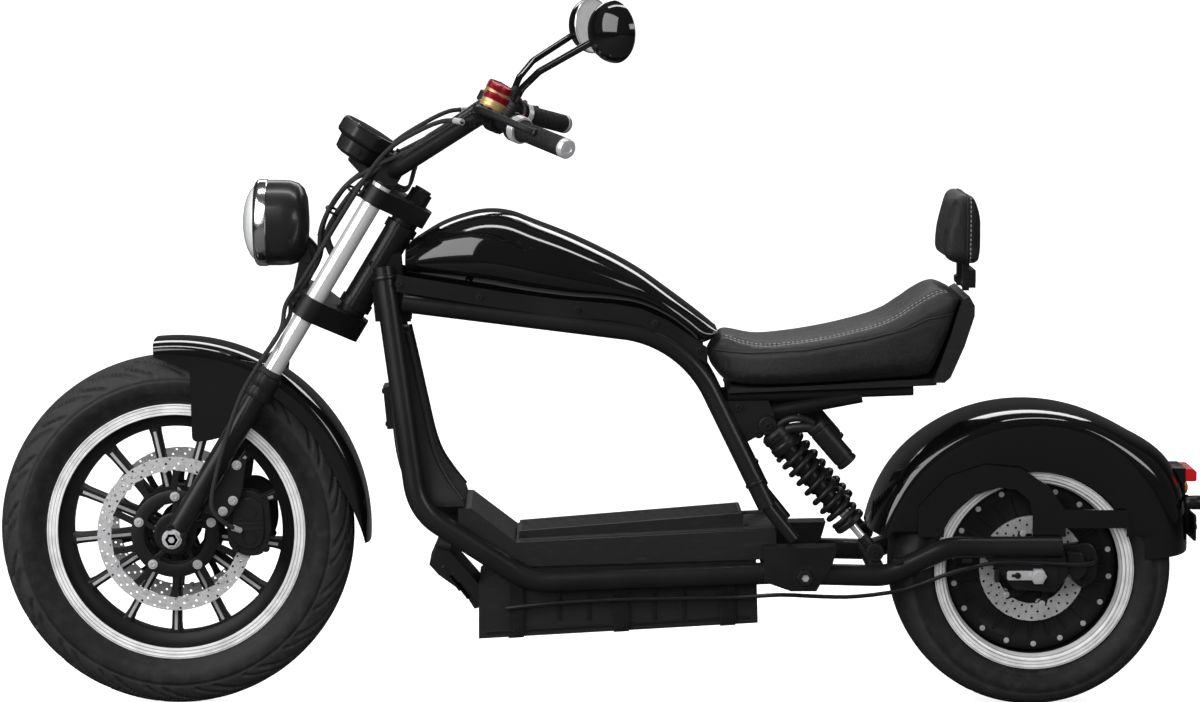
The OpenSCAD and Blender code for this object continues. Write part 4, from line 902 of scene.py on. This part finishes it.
# The panel itself: a closed skin through level sections, its rear edge bowed like the cover in the photo
levels = [(1055, 1092, 642, 56), (1041, 1088, 580, 57), (1026, 1083, 510, 60), (1015, 1078, 460, 66),
    (1003, 1071, 424, 76), (984, 1060, 392, 86), (962, 1046, 364, 96), (957, 1035, 351, 98)]
rows = curve(levels, 8)
panel = []
for back, front, z, half in rows:
    outline = rounded([(back, -half), (front, -half), (front, half), (back, half)], 7, 5)
    panel.append(np.concatenate([outline, np.full((len(outline), 1), z)], 1))
shape.closed(np.array(panel), 0)
for z, x in ((610, 1047), (580, 1041), (550, 1034)):
    tube(shape, [(x - 1, -44, z), (x - 1, 44, z)], 2.6, 8, 0)
for y in (-26, 26):
    for z in (482, 538):
        bolt(shape, (1082 + (z - 510) * 0.1 + 12, y, z), (1, 0, 0.09), 8, 3, 1)
shape.make("LegPanel", [boxBlack, boltBlack], "frame", "black_plastic", ["leg_box"])

# Frame hardware: bolts on the flat side rails, gusset bolts, welded collars
shape = Shape()
rail = [(1066, 726.5), (932, 704.5), (770, 682.5), (640, 659.5), (566, 614)]
for s in sides:
    for x, z in rail:
        bolt(shape, (x, 96.2 * s, z), (0, s, 0), 11, 5.5, 0)
    for x, z in ((500, 518), (466, 474)):
        bolt(shape, (x, 98.2 * s, z), (0, s, 0), 13, 6, 0)
    for p, q, r in (((1094, 75, 752), (1036, 125, 348), 20.4), ((590, 88, 634), (452, 110, 352), 17.6)):
        p, q = onSide(p, s), onSide(q, s)
        t = 0.045 if r > 20 else 0.86
        at = p + (q - p) * t
        ring = [(r - 3, -4), (r, -3), (r + 0.8, 0), (r, 3), (r - 3, 4)]
        shape.turned(ring, at, q - p, 36, 1)
shape.make("FrameDetails", [boltBlack, frameBlack], "frame", "frame_black")
print("floor ready")

# Fork: seal collars, clamp bolts, axle nuts and the lower legs' axle eyes
def alongLeg(shape, profile, s, t, mat, count=40):  # profile of (radius, height) about a fork leg
    at = steerPoint((steering["offset"], steering["legY"] * s, t))
    shape.turned(profile, at, steerAxes[2], count, mat)


shape = Shape()
for s in sides:
    alongLeg(shape, [(17, -44), (22.6, -44), (23.4, -42), (23.4, -30), (22.4, -28), (22.4, -24), (23.4, -22),
        (23.4, -3), (21.5, 0), (17, 1.5)], s, -170, 0)
    alongLeg(shape, [(16.6, 1), (20.4, 1), (20.8, 3), (18.2, 9), (16.8, 10)], s, -170, 1)
    alongLeg(shape, [(0.1, 0), (14, 0), (15.4, 2), (15.4, 5), (7, 5.6), (6, 3.6), (0.1, 3.6)], s, 199, 2, 32)
    axle = frontAxle + [0, 116 * s, 0]
    bolt(shape, axle, (0, s, 0), 25, 10, 3)
    tube(shape, [axle, axle + [0, 14 * s, 0]], 7.6, 20, 3)
    for q in (-14, 14):
        bolt(shape, steerPoint((steering["offset"] + q, 101 * s, -474)) + [0, 18 * s, 0], (0, s, 0), 9, 4, 2)
    for t in (-39, 179):
        for q in (-8, 8):
            at = steerPoint((steering["offset"] + 24 - 2 * (t > 0), steering["legY"] * s + 3 * s, t + q))
            bolt(shape, at, steerAxes[0], 10, 5, 2)
    for n in (-9, 9):
        bolt(shape, steerPoint((steering["offset"] - 5 + n * 1.4, 42 * s, 248.5)), steerAxes[2], 9, 7, 2)
bolt(shape, steerPoint((0, 0, 194)), steerAxes[2], 37, 9, 2)
shape.make("ForkDetails", [castBlack, gripRubber, boltBlack, boltSteel], "steering", "cast_black")

# Headlight: satin bowl, chrome ring, reflector, bulb and fluted lens, on its bracket
lampAt = steerPoint((172, 0, 53))
about = lambda shape, profile, m, count=96: shape.turned(profile, lampAt, (1, 0, 0), count, m)
shape = Shape()
about(shape, [(0.1, -40), (24, -40), (44, -38), (58, -33), (67, -24), (71.4, -10), (72.3, 4), (72.3, 33), (70, 35),
    (66, 35)], 0)
about(shape, [(62, 28), (72.2, 28), (73.6, 29.5), (73.6, 41), (71.9, 46), (68, 49), (64.5, 50.5), (63.5, 48),
    (62, 40)], 1)
about(shape, [(63, 36), (63, 38), (40, 16), (20, 4), (8, 0), (0.1, 0), (0.1, -2), (20, 0)], 1)
about(shape, [(7, 2), (7, 26), (4, 30), (0.1, 31)], 1, 24)
bracket = rounded([(83.8, -56), (96, -56), (122, 20), (116, 40), (104, 28), (83.8, -24)], [2, 4, 6, 4, 4, 4], 5)
tilted = (steerAxes[0], steerAxes[2], steerAxes[1])
shape.closed(slab(bracket, -22, 22, 1.5, steering["point"], tilted), 0)
for s in sides:
    bolt(shape, lampAt + [-14, 69.6 * s, -26], (0, s, 0), 9, 3, 2, washer=False)
    bolt(shape, steerPoint((106, 22 * s, 12)), (0, s, 0), 12, 5, 2)
tube(shape, curve([lampAt + [-30, 0, -30], steerPoint((104, 0, 30)), steerPoint((98, 0, -10))], 8), 13, 20, 0)
shape.make("HeadlightShell", [paint("LampSatin", (0.010, 0.010, 0.011), 0.3, coat=0.2, grain=0.08), lampRing,
    boltBlack], "steering", "gloss_black", ["headlight_shell"])
shape = Shape()
about(shape, [(0.1, 70.5), (16, 69.8), (30, 67.6), (44, 63.4), (55, 58), (62, 51.5), (63.4, 47), (61, 46.5), (54, 54),
    (43, 60), (29, 64.4), (16, 66.6), (0.1, 67.4)], 0)
shape.make("HeadlightLens", [clearLens], "steering", "clear_lens", ["headlight_lens"])

# Gauge: faceted case with a dark glass and its arm
shape = Shape()


def facet(r, n=8):
    b = (np.arange(n) + 0.5) * 2 * np.pi / n
    return rounded(r / math.cos(math.pi / n) * 0.955 * np.stack([np.cos(b), np.sin(b)], 1), 5, 4)


levels = [(206, 26), (208.5, 34), (212, 39), (233, 41), (237, 49.5), (241, 51.6), (258, 51.6), (262.5, 49),
    (263.5, 46.5)]
case = np.array([np.array([steerPoint((128 + p[0], p[1], t)) for p in facet(r)]) for t, r in levels])
shape.closed(case, 0)
glass = np.array([np.array([steerPoint((128 + p[0], p[1], t)) for p in facet(r)]) for t,
    r in ((263.2, 44.5), (264.4, 43.8), (264.8, 40), (264.8, 10))])
shape.closed(glass, 1)
shape.plate([(87, 185), (136, 200), (136, 208), (104, 208), (87, 205)], 4, 4, -19, 19, 2, origin=steering["point"],
    axes=tilted)
for s in sides:
    bolt(shape, steerPoint((128, 41 * s, 221)), (0, s, 0), 9, 3, 2)
gaugeGlass = paint("GaugeGlass", (0.006, 0.007, 0.009), 0.06, coat=1.0, grain=0.0)
shape.make("Gauge", [partBlack, gaugeGlass, boltBlack], "steering", "black_plastic", ["gauge"], sharp=25)

# Handlebar ends: everything here stands at a distance d in from the bar's outer end
barEnd, barKnee = np.array((-158.0, 366.0, 422.0)), np.array((-19.0, 186.0, 391.0))
barRun = unit(barEnd - barKnee)


def onBar(d, p=(0, 0, 0), s=1):  # local x, y and distance outwards, at d in from the end, on side s
    tilt, turn = math.acos(barRun[2]), math.atan2(barRun[1], barRun[0])
    localX = np.array((math.cos(tilt) * math.cos(turn), math.cos(tilt) * math.sin(turn), -math.sin(tilt)))
    localY = np.array((-math.sin(turn), math.cos(turn), 0))
    p = np.asarray(p, float)
    q = barEnd - barRun * d + p[..., :1] * localX + p[..., 1:2] * localY + p[..., 2:] * barRun
    return steerPoint(onSide(q, s))


def barLathe(shape, profile, d, s, mat, count=36, at=(0, 0, 0), towards=(0, 0, 1)):
    start = onBar(d, at, s)
    axis = onBar(d, np.array(at, float) + towards, s) - start
    shape.turned(profile, start, axis, count, mat)


shape = Shape()
for s in sides:
    ribs = [(16.3 - 1.1 * (k % 2), 6 + 3.1 * k + q) for k in range(33) for q in (0, 2.2)]
    barLathe(shape, [(14.4, 0), (17.6, 0), (18.6, 1.5), (18.6, 4), (16.3, 5.2)] + ribs + [(16.3, 110.5),
        (14.4, 110.5)], 118, s, 0, 40)
    barLathe(shape, [(0.1, 0), (15, 0), (16.4, 1.5), (16.4, 9), (14.5, 12), (7, 12.6), (6, 11), (0.1, 11)], 7, s, 1)
shape.make("Grips", [gripRubber, boltSteel], "steering", "grip_rubber", ["grips"])

shape = Shape()
for s in sides:
    barLathe(shape, [(14.3, 0), (18, 0), (21.4, 2), (22.4, 5), (22.4, 9), (21.6, 9.5), (21.6, 10.3), (22.4, 10.8),
        (21.6, 15), (18, 16.5), (14.3, 16.5)], 146, s, 0, 48)
    barLathe(shape, [(14.3, 0), (21.4, 0), (22.6, 0.8)] + [(22.6 - 0.7 * (k % 2),
        1.4 + 0.9 * k) for k in range(14)] + [(21.4, 14.2), (14.3, 14.2)], 133.2, s, 1, 48)
    for k, (zz, size) in enumerate(((6, 4.2), (12, 3))):
        a = math.radians(200 - 22 * k)
        out = (math.cos(a), math.sin(a), 0)
        barLathe(shape, [(0.1, 20), (size, 20), (size, 23.5), (size - 1, 24.5), (0.1, 24.5)], 146, s,
            2 if k == 1 else 0, 20, (0, 0, zz), out)
shape.make("SwitchHousings", [partBlack, boltSteel, redAlloy], "steering", "black_plastic", ["switch_housings"])

shape = Shape()
for s in sides:
    barLathe(shape, [(14.3, 0), (19.6, 0), (20.6, 1), (20.6, 23), (19.6, 24), (14.3, 24)], 204, s, 3, 40)
    barLathe(shape, [(0.1, -8), (9, -8), (10, -6), (12.6, -5), (12.6, 20), (10, 22), (10, 23.6), (0.1, 23.6)], 204, s,
        3, 32, (0, -27, 0))
    barLathe(shape, [(0.1, 0), (16, 0), (21, 3), (22.4, 5), (22.4, 11), (21.6, 11.6), (21.6, 12.4), (22.4, 13),
        (22.4, 18), (0.1, 18)], 204, s, 0, 60, (-8, -12, 3), (-1, 0, 0))
    knurl = [(22.8 - 0.5 * (k % 2), 18.6 + 0.7 * k) for k in range(12)]
    barLathe(shape, [(0.1, 17.6), (22.8, 17.6)] + knurl + [(21.6, 29), (15, 29.6), (14, 28), (0.1, 28)], 204, s, 1, 60,
        (-8, -12, 3), (-1, 0, 0))
    for q in range(4):
        a = math.radians(45 + 90 * q)
        barLathe(shape, [(0.1, 28), (2.6, 28), (2.6, 30), (1.4, 30.2), (0.1, 29.4)], 204, s, 2, 12,
            (-8, -12 + 17.6 * math.sin(a), 3 + 17.6 * math.cos(a)), (-1, 0, 0))
    block = np.array([(-9, -25), (10, -25), (10, 2), (-9, 2)])
    p = np.array([[onBar(204, (q[0], q[1], z), s) for q in rounded(block, 3, 3)] for z in (1, 2, 22, 23)])
    shape.closed(p, 3)
    for q in (-15, 15):
        barLathe(shape, [(0.1, 0), (3.4, 0), (3.4, 13), (0.1, 13)], 204, s, 2, 12, (q, 6, 12), (0, 1, 0))
shape.make("MasterCylinders", [goldAlloy, redAlloy, boltBlack, castBlack], "steering", "gold_alloy",
    ["master_cylinders"])

shape = Shape()
for s in sides:
    line = curve([(0, -46.8, 14), (0, -55, 26), (0, -60.5, 42), (0, -60, 80), (0, -56, 130), (0, -52.5, 160),
        (0, -52, 182)], 8)
    path = onBar(204, line, s)
    size = np.interp(np.linspace(0, 1, len(path)), [0, 0.15, 0.3, 0.85, 0.93, 0.97, 1],
        [1.0, 1.05, 0.9, 0.72, 0.75, 1.0, 0.7])
    blade = circle(6.4, 16, 2.4) * [0.8, 1.15]
    shape.closed(carry(path, blade, steerAxes[2], scale=size), 0)
    barLathe(shape, [(0.1, -9), (8, -9), (9, -8), (9, 8), (8, 9), (0.1, 9)], 204, s, 0, 24, (0, -45, 14), (1, 0, 0))
    barLathe(shape, [(0.1, 8.8), (4, 8.8), (4, 11), (0.1, 11)], 204, s, 1, 12, (0, -45, 14), (-1, 0, 0))
shape.make("BrakeLevers", [castBlack, boltBlack], "steering", "cast_black", ["brake_levers"])

# Mirrors: round dark bowls with a bright rim and glass, on stalks with rubber boots
mirror = {"head": (722, 380, 1152), "elbow": (832, 300, 1087), "shift": ((0, 0, 0), (26, 0, -10)), "aim": 40}
shape = Shape()
for i, s in enumerate(sides):
    shift = np.array(mirror["shift"][i])
    head, elbow = np.array(mirror["head"]) + shift, np.array(mirror["elbow"]) + shift / 2
    head, elbow = onSide(head, s), onSide(elbow, s)
    foot = onBar(172, (0, 0, 0), s)
    rise = foot + 0.62 * (elbow - foot) + [6, -10 * s, 4]
    path = bent([foot + unit(rise - foot) * 16, rise, elbow, head], [30, 30], 10)
    tube(shape, path, 5.8, 16, 0)
    boot = [(5, 0), (9.5, 0)] + [(9.5 - 0.18 * k - 1.2 * (k % 2), 2 + 2.4 * k) for k in range(10)] + [(6, 28)]
    shape.turned(boot, foot + unit(rise - foot) * 17, rise - foot, 28, 1)
    aim = np.array([-math.cos(math.radians(mirror["aim"])), -s * math.sin(math.radians(mirror["aim"])), 0.05])
    bowl = [(0.1, -24), (10, -23.4), (22, -20.6), (33, -15.5), (41, -9), (46.4, -1), (49, 6), (50, 11), (48.6, 12.4),
        (47, 11), (0.1, 9)]
    shape.turned(bowl, head, aim, 72, 0)
    ring = [(46, 10.4), (47.6, 10.6), (49.2, 12), (48.6, 13.8), (47, 14), (45.8, 12.4)]
    shape.grid(lathe(ring, head, aim, 72), True, True, 2)
    shape.turned([(0.1, 11.9), (46.4, 11.5), (46.4, 10), (0.1, 10)], head, aim, 72, 3)
shape.make("Mirrors", [glossBlack, gripRubber, chrome, mirrorFace], "steering", "gloss_black", ["mirrors"])
print("controls ready")

# Front calipers: stepped bodies, ribs, pins and bolted brackets
shape = Shape()
outline = rounded([(-84, 60), (-92, -20), (-118, -36), (-150, -34), (-163, 0), (-159, 60), (-132, 78), (-100, 74)],
    [6, 10, 14, 14, 16, 14, 12, 10], 5)
step = rounded([(-97, 54), (-101, -12), (-120, -24), (-144, -22), (-153, 2), (-150, 54), (-130, 66), (-106, 62)],
    [6, 8, 10, 12, 14, 12, 10, 8], 5)
outer = rounded([(-137.5, -34), (-150, -32), (-162, 0), (-158, 58), (-138.5, 73)], [3, 10, 12, 12, 3], 5)
for s in sides:
    shape.closed(slab(outline, 65.2 * s, 80 * s, 2.5 * s, frontAxle), 0)
    shape.closed(slab(step, 79.5 * s, 84 * s, 2 * s, frontAxle), 0)
    shape.closed(slab(outline, 48.2 * s, 55 * s, 2.5 * s, frontAxle), 0)
    shape.closed(slab(outer, 54 * s, 66 * s, 1.0 * s, frontAxle), 0)
    for q in ((-125, 40), (-126, -2)):
        at = frontAxle + [q[0], 83.6 * s, q[1]]
        shape.turned([(0.1, 0), (15, 0), (14.4, 1.6), (11, 1.8), (10.4, 0.8), (0.1, 0.8)], at, (0, s, 0), 36, 0)
    for q in ((-98, 62), (-104, -22), (-150, 64), (-154, -22)):
        bolt(shape, frontAxle + [q[0], 80 * s, q[1]], (0, s, 0), 10, 5, 1)
    for z in (12, 20, 28):
        shape.plate([(-148, z - 2), (-106, z - 2), (-106, z + 1), (-148, z + 1)], 1, 3, 83.4 * s, 85 * s, 0.5 * s,
            origin=frontAxle)
    bridge = rounded([(-47.6, 41), (-101.2, 130), (-124, 134), (-116, 70), (-92, 30)], [3, 12, 10, 14, 8], 5)
    shape.closed(slab(bridge, 90 * s, 98 * s, 1.2 * s, frontAxle), 0)
    for q in ((-108, 122), (-101, 62), (-84, 44)):
        bolt(shape, frontAxle + [q[0], 98 * s, q[1]], (0, s, 0), 12, 6, 2)
    for q in ((-104, 64), (-100, 40)):
        tube(shape, [frontAxle + [q[0], 80 * s, q[1]], frontAxle + [q[0], 91 * s, q[1]]], 7, 16, 0)
shape.make("FrontCalipers", [castBlack, boltBlack, boltSteel], "steering", "cast_black", ["front_calipers"])

# Hoses and loom: braided sleeves from the bar past the clamps, with crimped silver ends
hoseTop = [(4, 200, 364), (30, 160, 348), (56, 116, 312), (84, 76, 256), (94, 62, 190), (97, 58, 90), (97, 58, 0),
    (100, 66, -56)]
hoseLow = [(1264, 106, 650), (1296, 130, 600), (1328, 132, 545), (1352, 131, 480), (1372, 129, 410), (1380, 123, 356),
    (1360, 110, 326), (1336, 89.5, 310)]
shape = Shape()
for s in sides:
    points = np.vstack([steerPoint(onSide(hoseTop, s)), onSide(hoseLow, s)])
    path = curve(points, 12)
    span = np.linalg.norm(np.diff(path, axis=0), axis=1).sum()
    tube(shape, path, 3.9, 16, 0, size=(round(span / 2.6), 8))
    for end, k in ((0, 6), (-1, -7)):
        tube(shape, path[[end, k // 2, k]] if end == 0 else path[[k, -4, -1]], 5.2, 18, 1)

# Loom: sleeves from the switches down the bar, tied at the risers, then looped in front of the fork
runs = [[(-18, 186, 372), (10, 150, 345), (36, 108, 300), (52, 70, 262), (74, 44, 236), (92, 34, 190), (104, 30, 130),
    (100, 26, 70), (60, 24, 40)],
        [(-22, 190, 380), (4, 156, 356), (30, 116, 310), (60, 84, 262), (92, 62, 214), (118, 50, 150), (116, 44, 84),
        (92, 40, 30), (90, 46, -24)],
        [(-10, 182, 366), (22, 138, 326), (44, 96, 282), (30, 60, 240), (28, 40, 205), (86, 30, 200), (112, 26, 168),
        (118, 14, 100), (112, 8, 64)]]
for s in sides:
    for k, line in enumerate(runs):
        path = curve(steerPoint(onSide(line, s)), 10)
        span = np.linalg.norm(np.diff(path, axis=0), axis=1).sum()
        tube(shape, path, (4.6, 3.4, 3.0)[k], 14, 0, size=(round(span / 2.6), 8))
for p in ((97, 0, 160), (110, 0, 112)):
    around = steerPoint(np.array(p) + np.stack([15 * np.cos(np.linspace(0, 2 * np.pi, 28, False)),
        46 * np.sin(np.linspace(0, 2 * np.pi, 28, False)), np.zeros(28)], 1))
    shape.grid(carry(around, circle(2.4, 8), steerAxes[2], closed=True), True, True, 2)
shape.make("BrakeHoses", [braid, boltSteel, hoseBlack], "steering", "cable_black", ["brake_hoses"])
print("steering ready")

# Seat and backrest: foam pushed out under its cover by cloth pressure, then seams and stitches
seatRows = [(129, 709, 704, 108), (140, 714, 681, 120), (150, 719, 645, 128), (165, 722, 603, 131),
    (178, 717, 572, 133), (190, 710, 566, 134),
            (249, 670, 563, 136), (310, 650, 559, 136), (377, 636, 555, 134), (437, 629, 552, 124),
            (470, 629, 551, 112), (500, 636, 552, 96),
            (520, 643, 556, 82), (531, 637, 566, 76), (541, 623, 580, 70), (550, 608, 594, 64)]
seams = {"top": 0.74, "pipe": [(141, 677), (189, 668), (222, 652), (287, 635), (386, 617), (484, 609), (530, 611),
    (547, 613)], "back": 118, "inset": 2.4}


def stuffed(name, shape, voxel, slot, nodes, groove):
    # Voxel remesh, a short cloth run under pressure, then the seams pulled in by groove(points, normals)
    pad = shape.make(name, [seatVinyl], "frame", slot, nodes)
    remesh = pad.modifiers.new("Remesh", "REMESH")
    remesh.mode, remesh.voxel_size = "VOXEL", voxel * mm
    bake(pad)
    count = len(pad.data.vertices)
    rest = np.empty(count * 3)
    pad.data.vertices.foreach_get("co", rest)
    cloth = pad.modifiers.new("Cloth", "CLOTH")
    cloth.settings.use_pressure = True
    cloth.settings.uniform_pressure_force = 4
    cloth.settings.tension_stiffness = cloth.settings.compression_stiffness = 25
    cloth.settings.effector_weights.gravity = 0
    cloth.point_cache.frame_start, cloth.point_cache.frame_end = 1, 20
    for step in range(1, 21):
        scene.frame_set(step)
    bake(pad)
    scene.frame_set(1)
    moved = np.empty(count * 3)
    pad.data.vertices.foreach_get("co", moved)
    shift = (moved - rest).reshape(-1, 3)
    far = np.linalg.norm(shift, axis=1, keepdims=True)
    shift *= np.minimum(1, seams["inset"] * mm / np.maximum(far, 1e-9))
    normals = np.empty(count * 3)
    pad.data.vertices.foreach_get("normal", normals)
    normals = normals.reshape(-1, 3)
    points = rest.reshape(-1, 3) + shift
    points -= normals * (groove(points / mm + saddle, normals) * mm)[:, None]
    pad.data.vertices.foreach_set("co", points.ravel())
    pad.data.update()
    pad.data.polygons.foreach_set("use_smooth", [True] * len(pad.data.polygons))
    smoother = pad.modifiers.new("Smoother", "SUBSURF")
    smoother.levels = smoother.render_levels = 1
    return pad


def bake(piece):
    graph = bpy.context.evaluated_depsgraph_get()
    mesh = bpy.data.meshes.new_from_object(piece.evaluated_get(graph))
    piece.modifiers.clear()
    piece.data = mesh


def skin(piece):  # the piece as it shows, to lay seams on
    graph = bpy.context.evaluated_depsgraph_get()
    return BVHTree.FromObject(piece, graph)


def laid(tree, starts, towards):  # points in millimetres moved along one direction until they meet the surface
    found = []
    for p in toRow(starts):
        hit = tree.ray_cast(Vector(p), Vector(towards))[0]
        if hit is not None:
            found.append(np.array(hit) / mm + saddle)
    return np.array(found)


def stitches(shape, path, mat, length=5.2, gap=2.6, r=0.75):
    run = np.concatenate([[0], np.cumsum(np.linalg.norm(np.diff(path, axis=0), axis=1))])
    at = lambda d: np.stack([np.interp(d, run, path[:, k]) for k in range(3)], -1)
    for start in np.arange(2, run[-1] - length, length + gap):
        tube(shape, at(start + np.array([0, 0.15, 0.5, 0.85, 1]) * length), r, 6, mat, scale=[0.3, 0.9, 1, 0.9, 0.3])


def seatGroove(p, n):
    w = smooth(seatRows, np.clip(p[:, 0], 129, 550))[:, 2]
    pipe = np.interp(p[:, 0], *np.array(seams["pipe"]).T)
    onTop = ease(0.2, 0.5, n[:, 2])
    line = np.exp(-((abs(p[:, 1]) - seams["top"] * w) / 3.4) ** 2) * onTop * 2.2
    side = np.exp(-((p[:, 2] - pipe) / 3.2) ** 2) * ease(0.35, 0.6, abs(n[:, 1])) * 1.8
    crease = 0.5 * np.sin(p[:, 0] * 0.21 + 4 * np.sin(p[:, 1] * 0.04)) * ease(0.3, 0.7, n[:, 2]) * ease(80, 10,
        abs(p[:, 0] - 240))
    return line + side + crease * 0.6


x = 129 + 421 * np.linspace(0, 1, 76)
top, low, wide = [c[:, None] for c in smooth(seatRows, x).T]
b = np.linspace(0, 2 * np.pi, 96, endpoint=False)[None]
half = (top - low) / 2 - np.minimum(seams["inset"], (top - low) * 0.2)
ring = np.stack([np.broadcast_to(np.clip(x, 131, 548)[:, None], (76, 96)),
    (wide - seams["inset"]) * np.sign(np.cos(b)) * abs(np.cos(b)) ** 0.5,
                 (top + low) / 2 + half * np.sign(np.sin(b)) * abs(np.sin(b)) ** 0.5], -1)
seat = stuffed("SaddleCushion", Shape().closed(ring), 5, "seat_fabric", ["seat_cushion"], seatGroove)

x = np.linspace(150, 524, 120)
w = smooth(seatRows, x)[:, 2]
shape = Shape()
tree = skin(seat)
for s in sides:
    for q in (-4.2, 4.2):
        path = laid(tree, np.stack([x, s * (seams["top"] * w + q), 0 * x + 900], 1), (0, 0, -1))
        stitches(shape, path, 0)
    pipe = np.interp(np.linspace(146, 540, 120), *np.array(seams["pipe"]).T)
    path = laid(tree, np.stack([np.linspace(146, 540, 120), 0 * pipe + 300 * s, pipe], 1), (0, -s, 0))
    tube(shape, path, 1.9, 10, 1, hint=(0, 0, 1))
shape.make("SaddleSeams", [thread, seatVinyl], "frame", "seat_fabric")


def backGroove(p, n):
    return np.exp(-((p[:, 0] - seams["back"]) / 3.0) ** 2) * 2.0


outline = rounded([(137.6, 872.5), (108, 874), (97, 840), (97, 757), (142, 760), (157, 768), (154, 808)],
    [12, 14, 12, 12, 8, 10, 20], 6)
shape = Shape().closed(slab(outline, -92.5, 92.5, 13))
backrest = stuffed("BackrestPad", shape, 4.5, "seat_fabric", ["backrest_pad"], backGroove)
tree = skin(backrest)
shape = Shape()
around = rounded([(-120, 752 - 30), (120, 752 - 30), (120, 900), (-120, 900)], 60, 12)
for q, r, m in ((-5, 0, 0), (0, 1.7, 1)):
    path = []
    for y, z in curve(around, 6, True):
        aim = Vector((0, -y, 815 - z)).normalized()
        hit = tree.ray_cast(Vector(toRow((seams["back"] + q, y, z))), aim)[0]
        if hit is not None:
            path.append(np.array(hit) / mm + saddle)
    path = np.array(path)
    if m:
        shape.grid(carry(path, circle(r, 8), (1, 0, 0), closed=True), True, True, m)
    else:
        stitches(shape, path, m)
shape.make("BackrestSeams", [thread, seatVinyl], "frame", "seat_fabric")

# Base shell bolts, backrest clamp and its reflector
shape = Shape()
for s in sides:
    shape.plate([(108, 714), (123, 714), (124, 726), (108, 726)], 3, 4, 33 * s, 57 * s, 1.5 * s)
    bolt(shape, (116, 57 * s, 720), (0, s, 0), 9, 4, 0)
    shape.plate([(98, 719), (100.5, 719), (100.5, 739), (98, 739)], 1, 3, 14 * s, 40 * s, 0.6 * s, mat=1)
shape.make("Reflectors", [boltBlack, redLens], "frame", "red_lens")
print("seat ready")

# Camera, floor and light --------------------------------------------------
view = {"place": (0.3685, 6.3236, 0.6956), "yaw": -0.0139, "pitch": 0.1136, "lens": 112.58}
camera = bpy.data.objects.new("Camera", bpy.data.cameras.new("Camera"))
scene.collection.objects.link(camera)
camera.location = view["place"]
forward = Vector((math.sin(view["yaw"]) * math.cos(view["pitch"]), -math.cos(view["yaw"]) * math.cos(view["pitch"]),
    -math.sin(view["pitch"])))
camera.rotation_euler = forward.to_track_quat("-Z", "Y").to_euler()
camera.data.lens = view["lens"]
camera.data.sensor_width = 36
scene.camera = camera

# A floor that curves up behind: white to the camera but for the shadow, dark in reflections
back = curve([(9, 0), (-1.5, 0), (-3.2, 0.12), (-4.6, 1.0), (-5.4, 3.2), (-5.6, 7.0)], 12)
x = np.linspace(-14, 14, 40)[:, None]
paperSheet = np.stack([x + 0 * back[:, 0], 0 * x + back[:, 0], 0 * x + back[:, 1] - 0.628], -1)
nu, nv = paperSheet.shape[:2]
quads = [[i * nv + j, i * nv + j + 1, (i + 1) * nv + j + 1,
    (i + 1) * nv + j] for i in range(nu - 1) for j in range(nv - 1)]
floorMesh = bpy.data.meshes.new("Floor")
floorMesh.from_pydata(paperSheet.reshape(-1, 3).tolist(), [], quads)
floorMesh.polygons.foreach_set("use_smooth", [True] * len(quads))
floor = bpy.data.objects.new("Floor", floorMesh)
scene.collection.objects.link(floor)
paper = Shader("Paper")
fibre = paper.noise(30, 3)
floorMesh.materials.append(paper.done(BaseColor=paper.mix(fibre, (0.86, 0.86, 0.86), (0.9, 0.9, 0.9)), Roughness=0.95,
    Specular=0.0,
                                      EmissionColor=(1, 1, 1), EmissionStrength=0.82))
seen = paper.node("ShaderNodeLightPath", out="Is Camera Ray") + paper.node("ShaderNodeLightPath",
    out="Is Transmission Ray")
dim = paper.node("ShaderNodeBsdfDiffuse", {}, {"Color": (0.10, 0.10, 0.10)})
shown = paper.node("ShaderNodeMixShader", {}, {0: seen.clip(), 1: dim, 2: Value(paper, paper.surface.outputs[0])})
away = paper.node("ShaderNodeNewGeometry", out="Backfacing")  # clear from behind, for views from the far side
oneSided = paper.node("ShaderNodeMixShader", {}, {0: away, 1: shown, 2: paper.node("ShaderNodeBsdfTransparent")})
paper.tree.links.new(oneSided.socket, paper.tree.nodes["Material Output"].inputs["Surface"])


def lamp(name, place, aim, size, power, seen=True):
    light = bpy.data.lights.new(name, "AREA")
    light.shape, light.size, light.size_y, light.energy = "RECTANGLE", size[0], size[1], power
    item = bpy.data.objects.new(name, light)
    scene.collection.objects.link(item)
    item.location = place
    item.rotation_euler = (Vector(aim) - Vector(place)).to_track_quat("-Z", "Y").to_euler()
    item.visible_glossy = seen


lamp("Key", (2.6, 2.0, 1.7), (0.5, 0, 0.1), (3.4, 3.0), 120)
lamp("Fill", (-3.4, 3.2, 1.9), (-0.2, 0, -0.1), (2.2, 1.4), 44)
lamp("TopStrip", (0.1, -0.35, 3.3), (0.1, 0, 0), (3.6, 0.5), 46)
lamp("Behind", (0.0, -3.2, 2.0), (0, 0, 0.1), (4.0, 0.8), 30)
lamp("Front", (0.6, 5.8, 1.2), (0.1, 0, -0.3), (3.0, 1.6), 150, seen=False)
world = bpy.data.worlds.new("World")
scene.world = world
world.use_nodes = True
world.node_tree.nodes["Background"].inputs["Color"].default_value = (1, 1, 1, 1)
lightPath = world.node_tree.nodes.new("ShaderNodeLightPath")
ramp = world.node_tree.nodes.new("ShaderNodeMapRange")  # white to the camera, dim to everything else
ramp.inputs["To Min"].default_value, ramp.inputs["To Max"].default_value = 0.06, 1.0
world.node_tree.links.new(lightPath.outputs["Is Camera Ray"], ramp.inputs["Value"])
world.node_tree.links.new(ramp.outputs["Result"], world.node_tree.nodes["Background"].inputs["Strength"])
scene.view_settings.view_transform = "Standard"
scene.view_settings.look = "None"
print("stage ready")
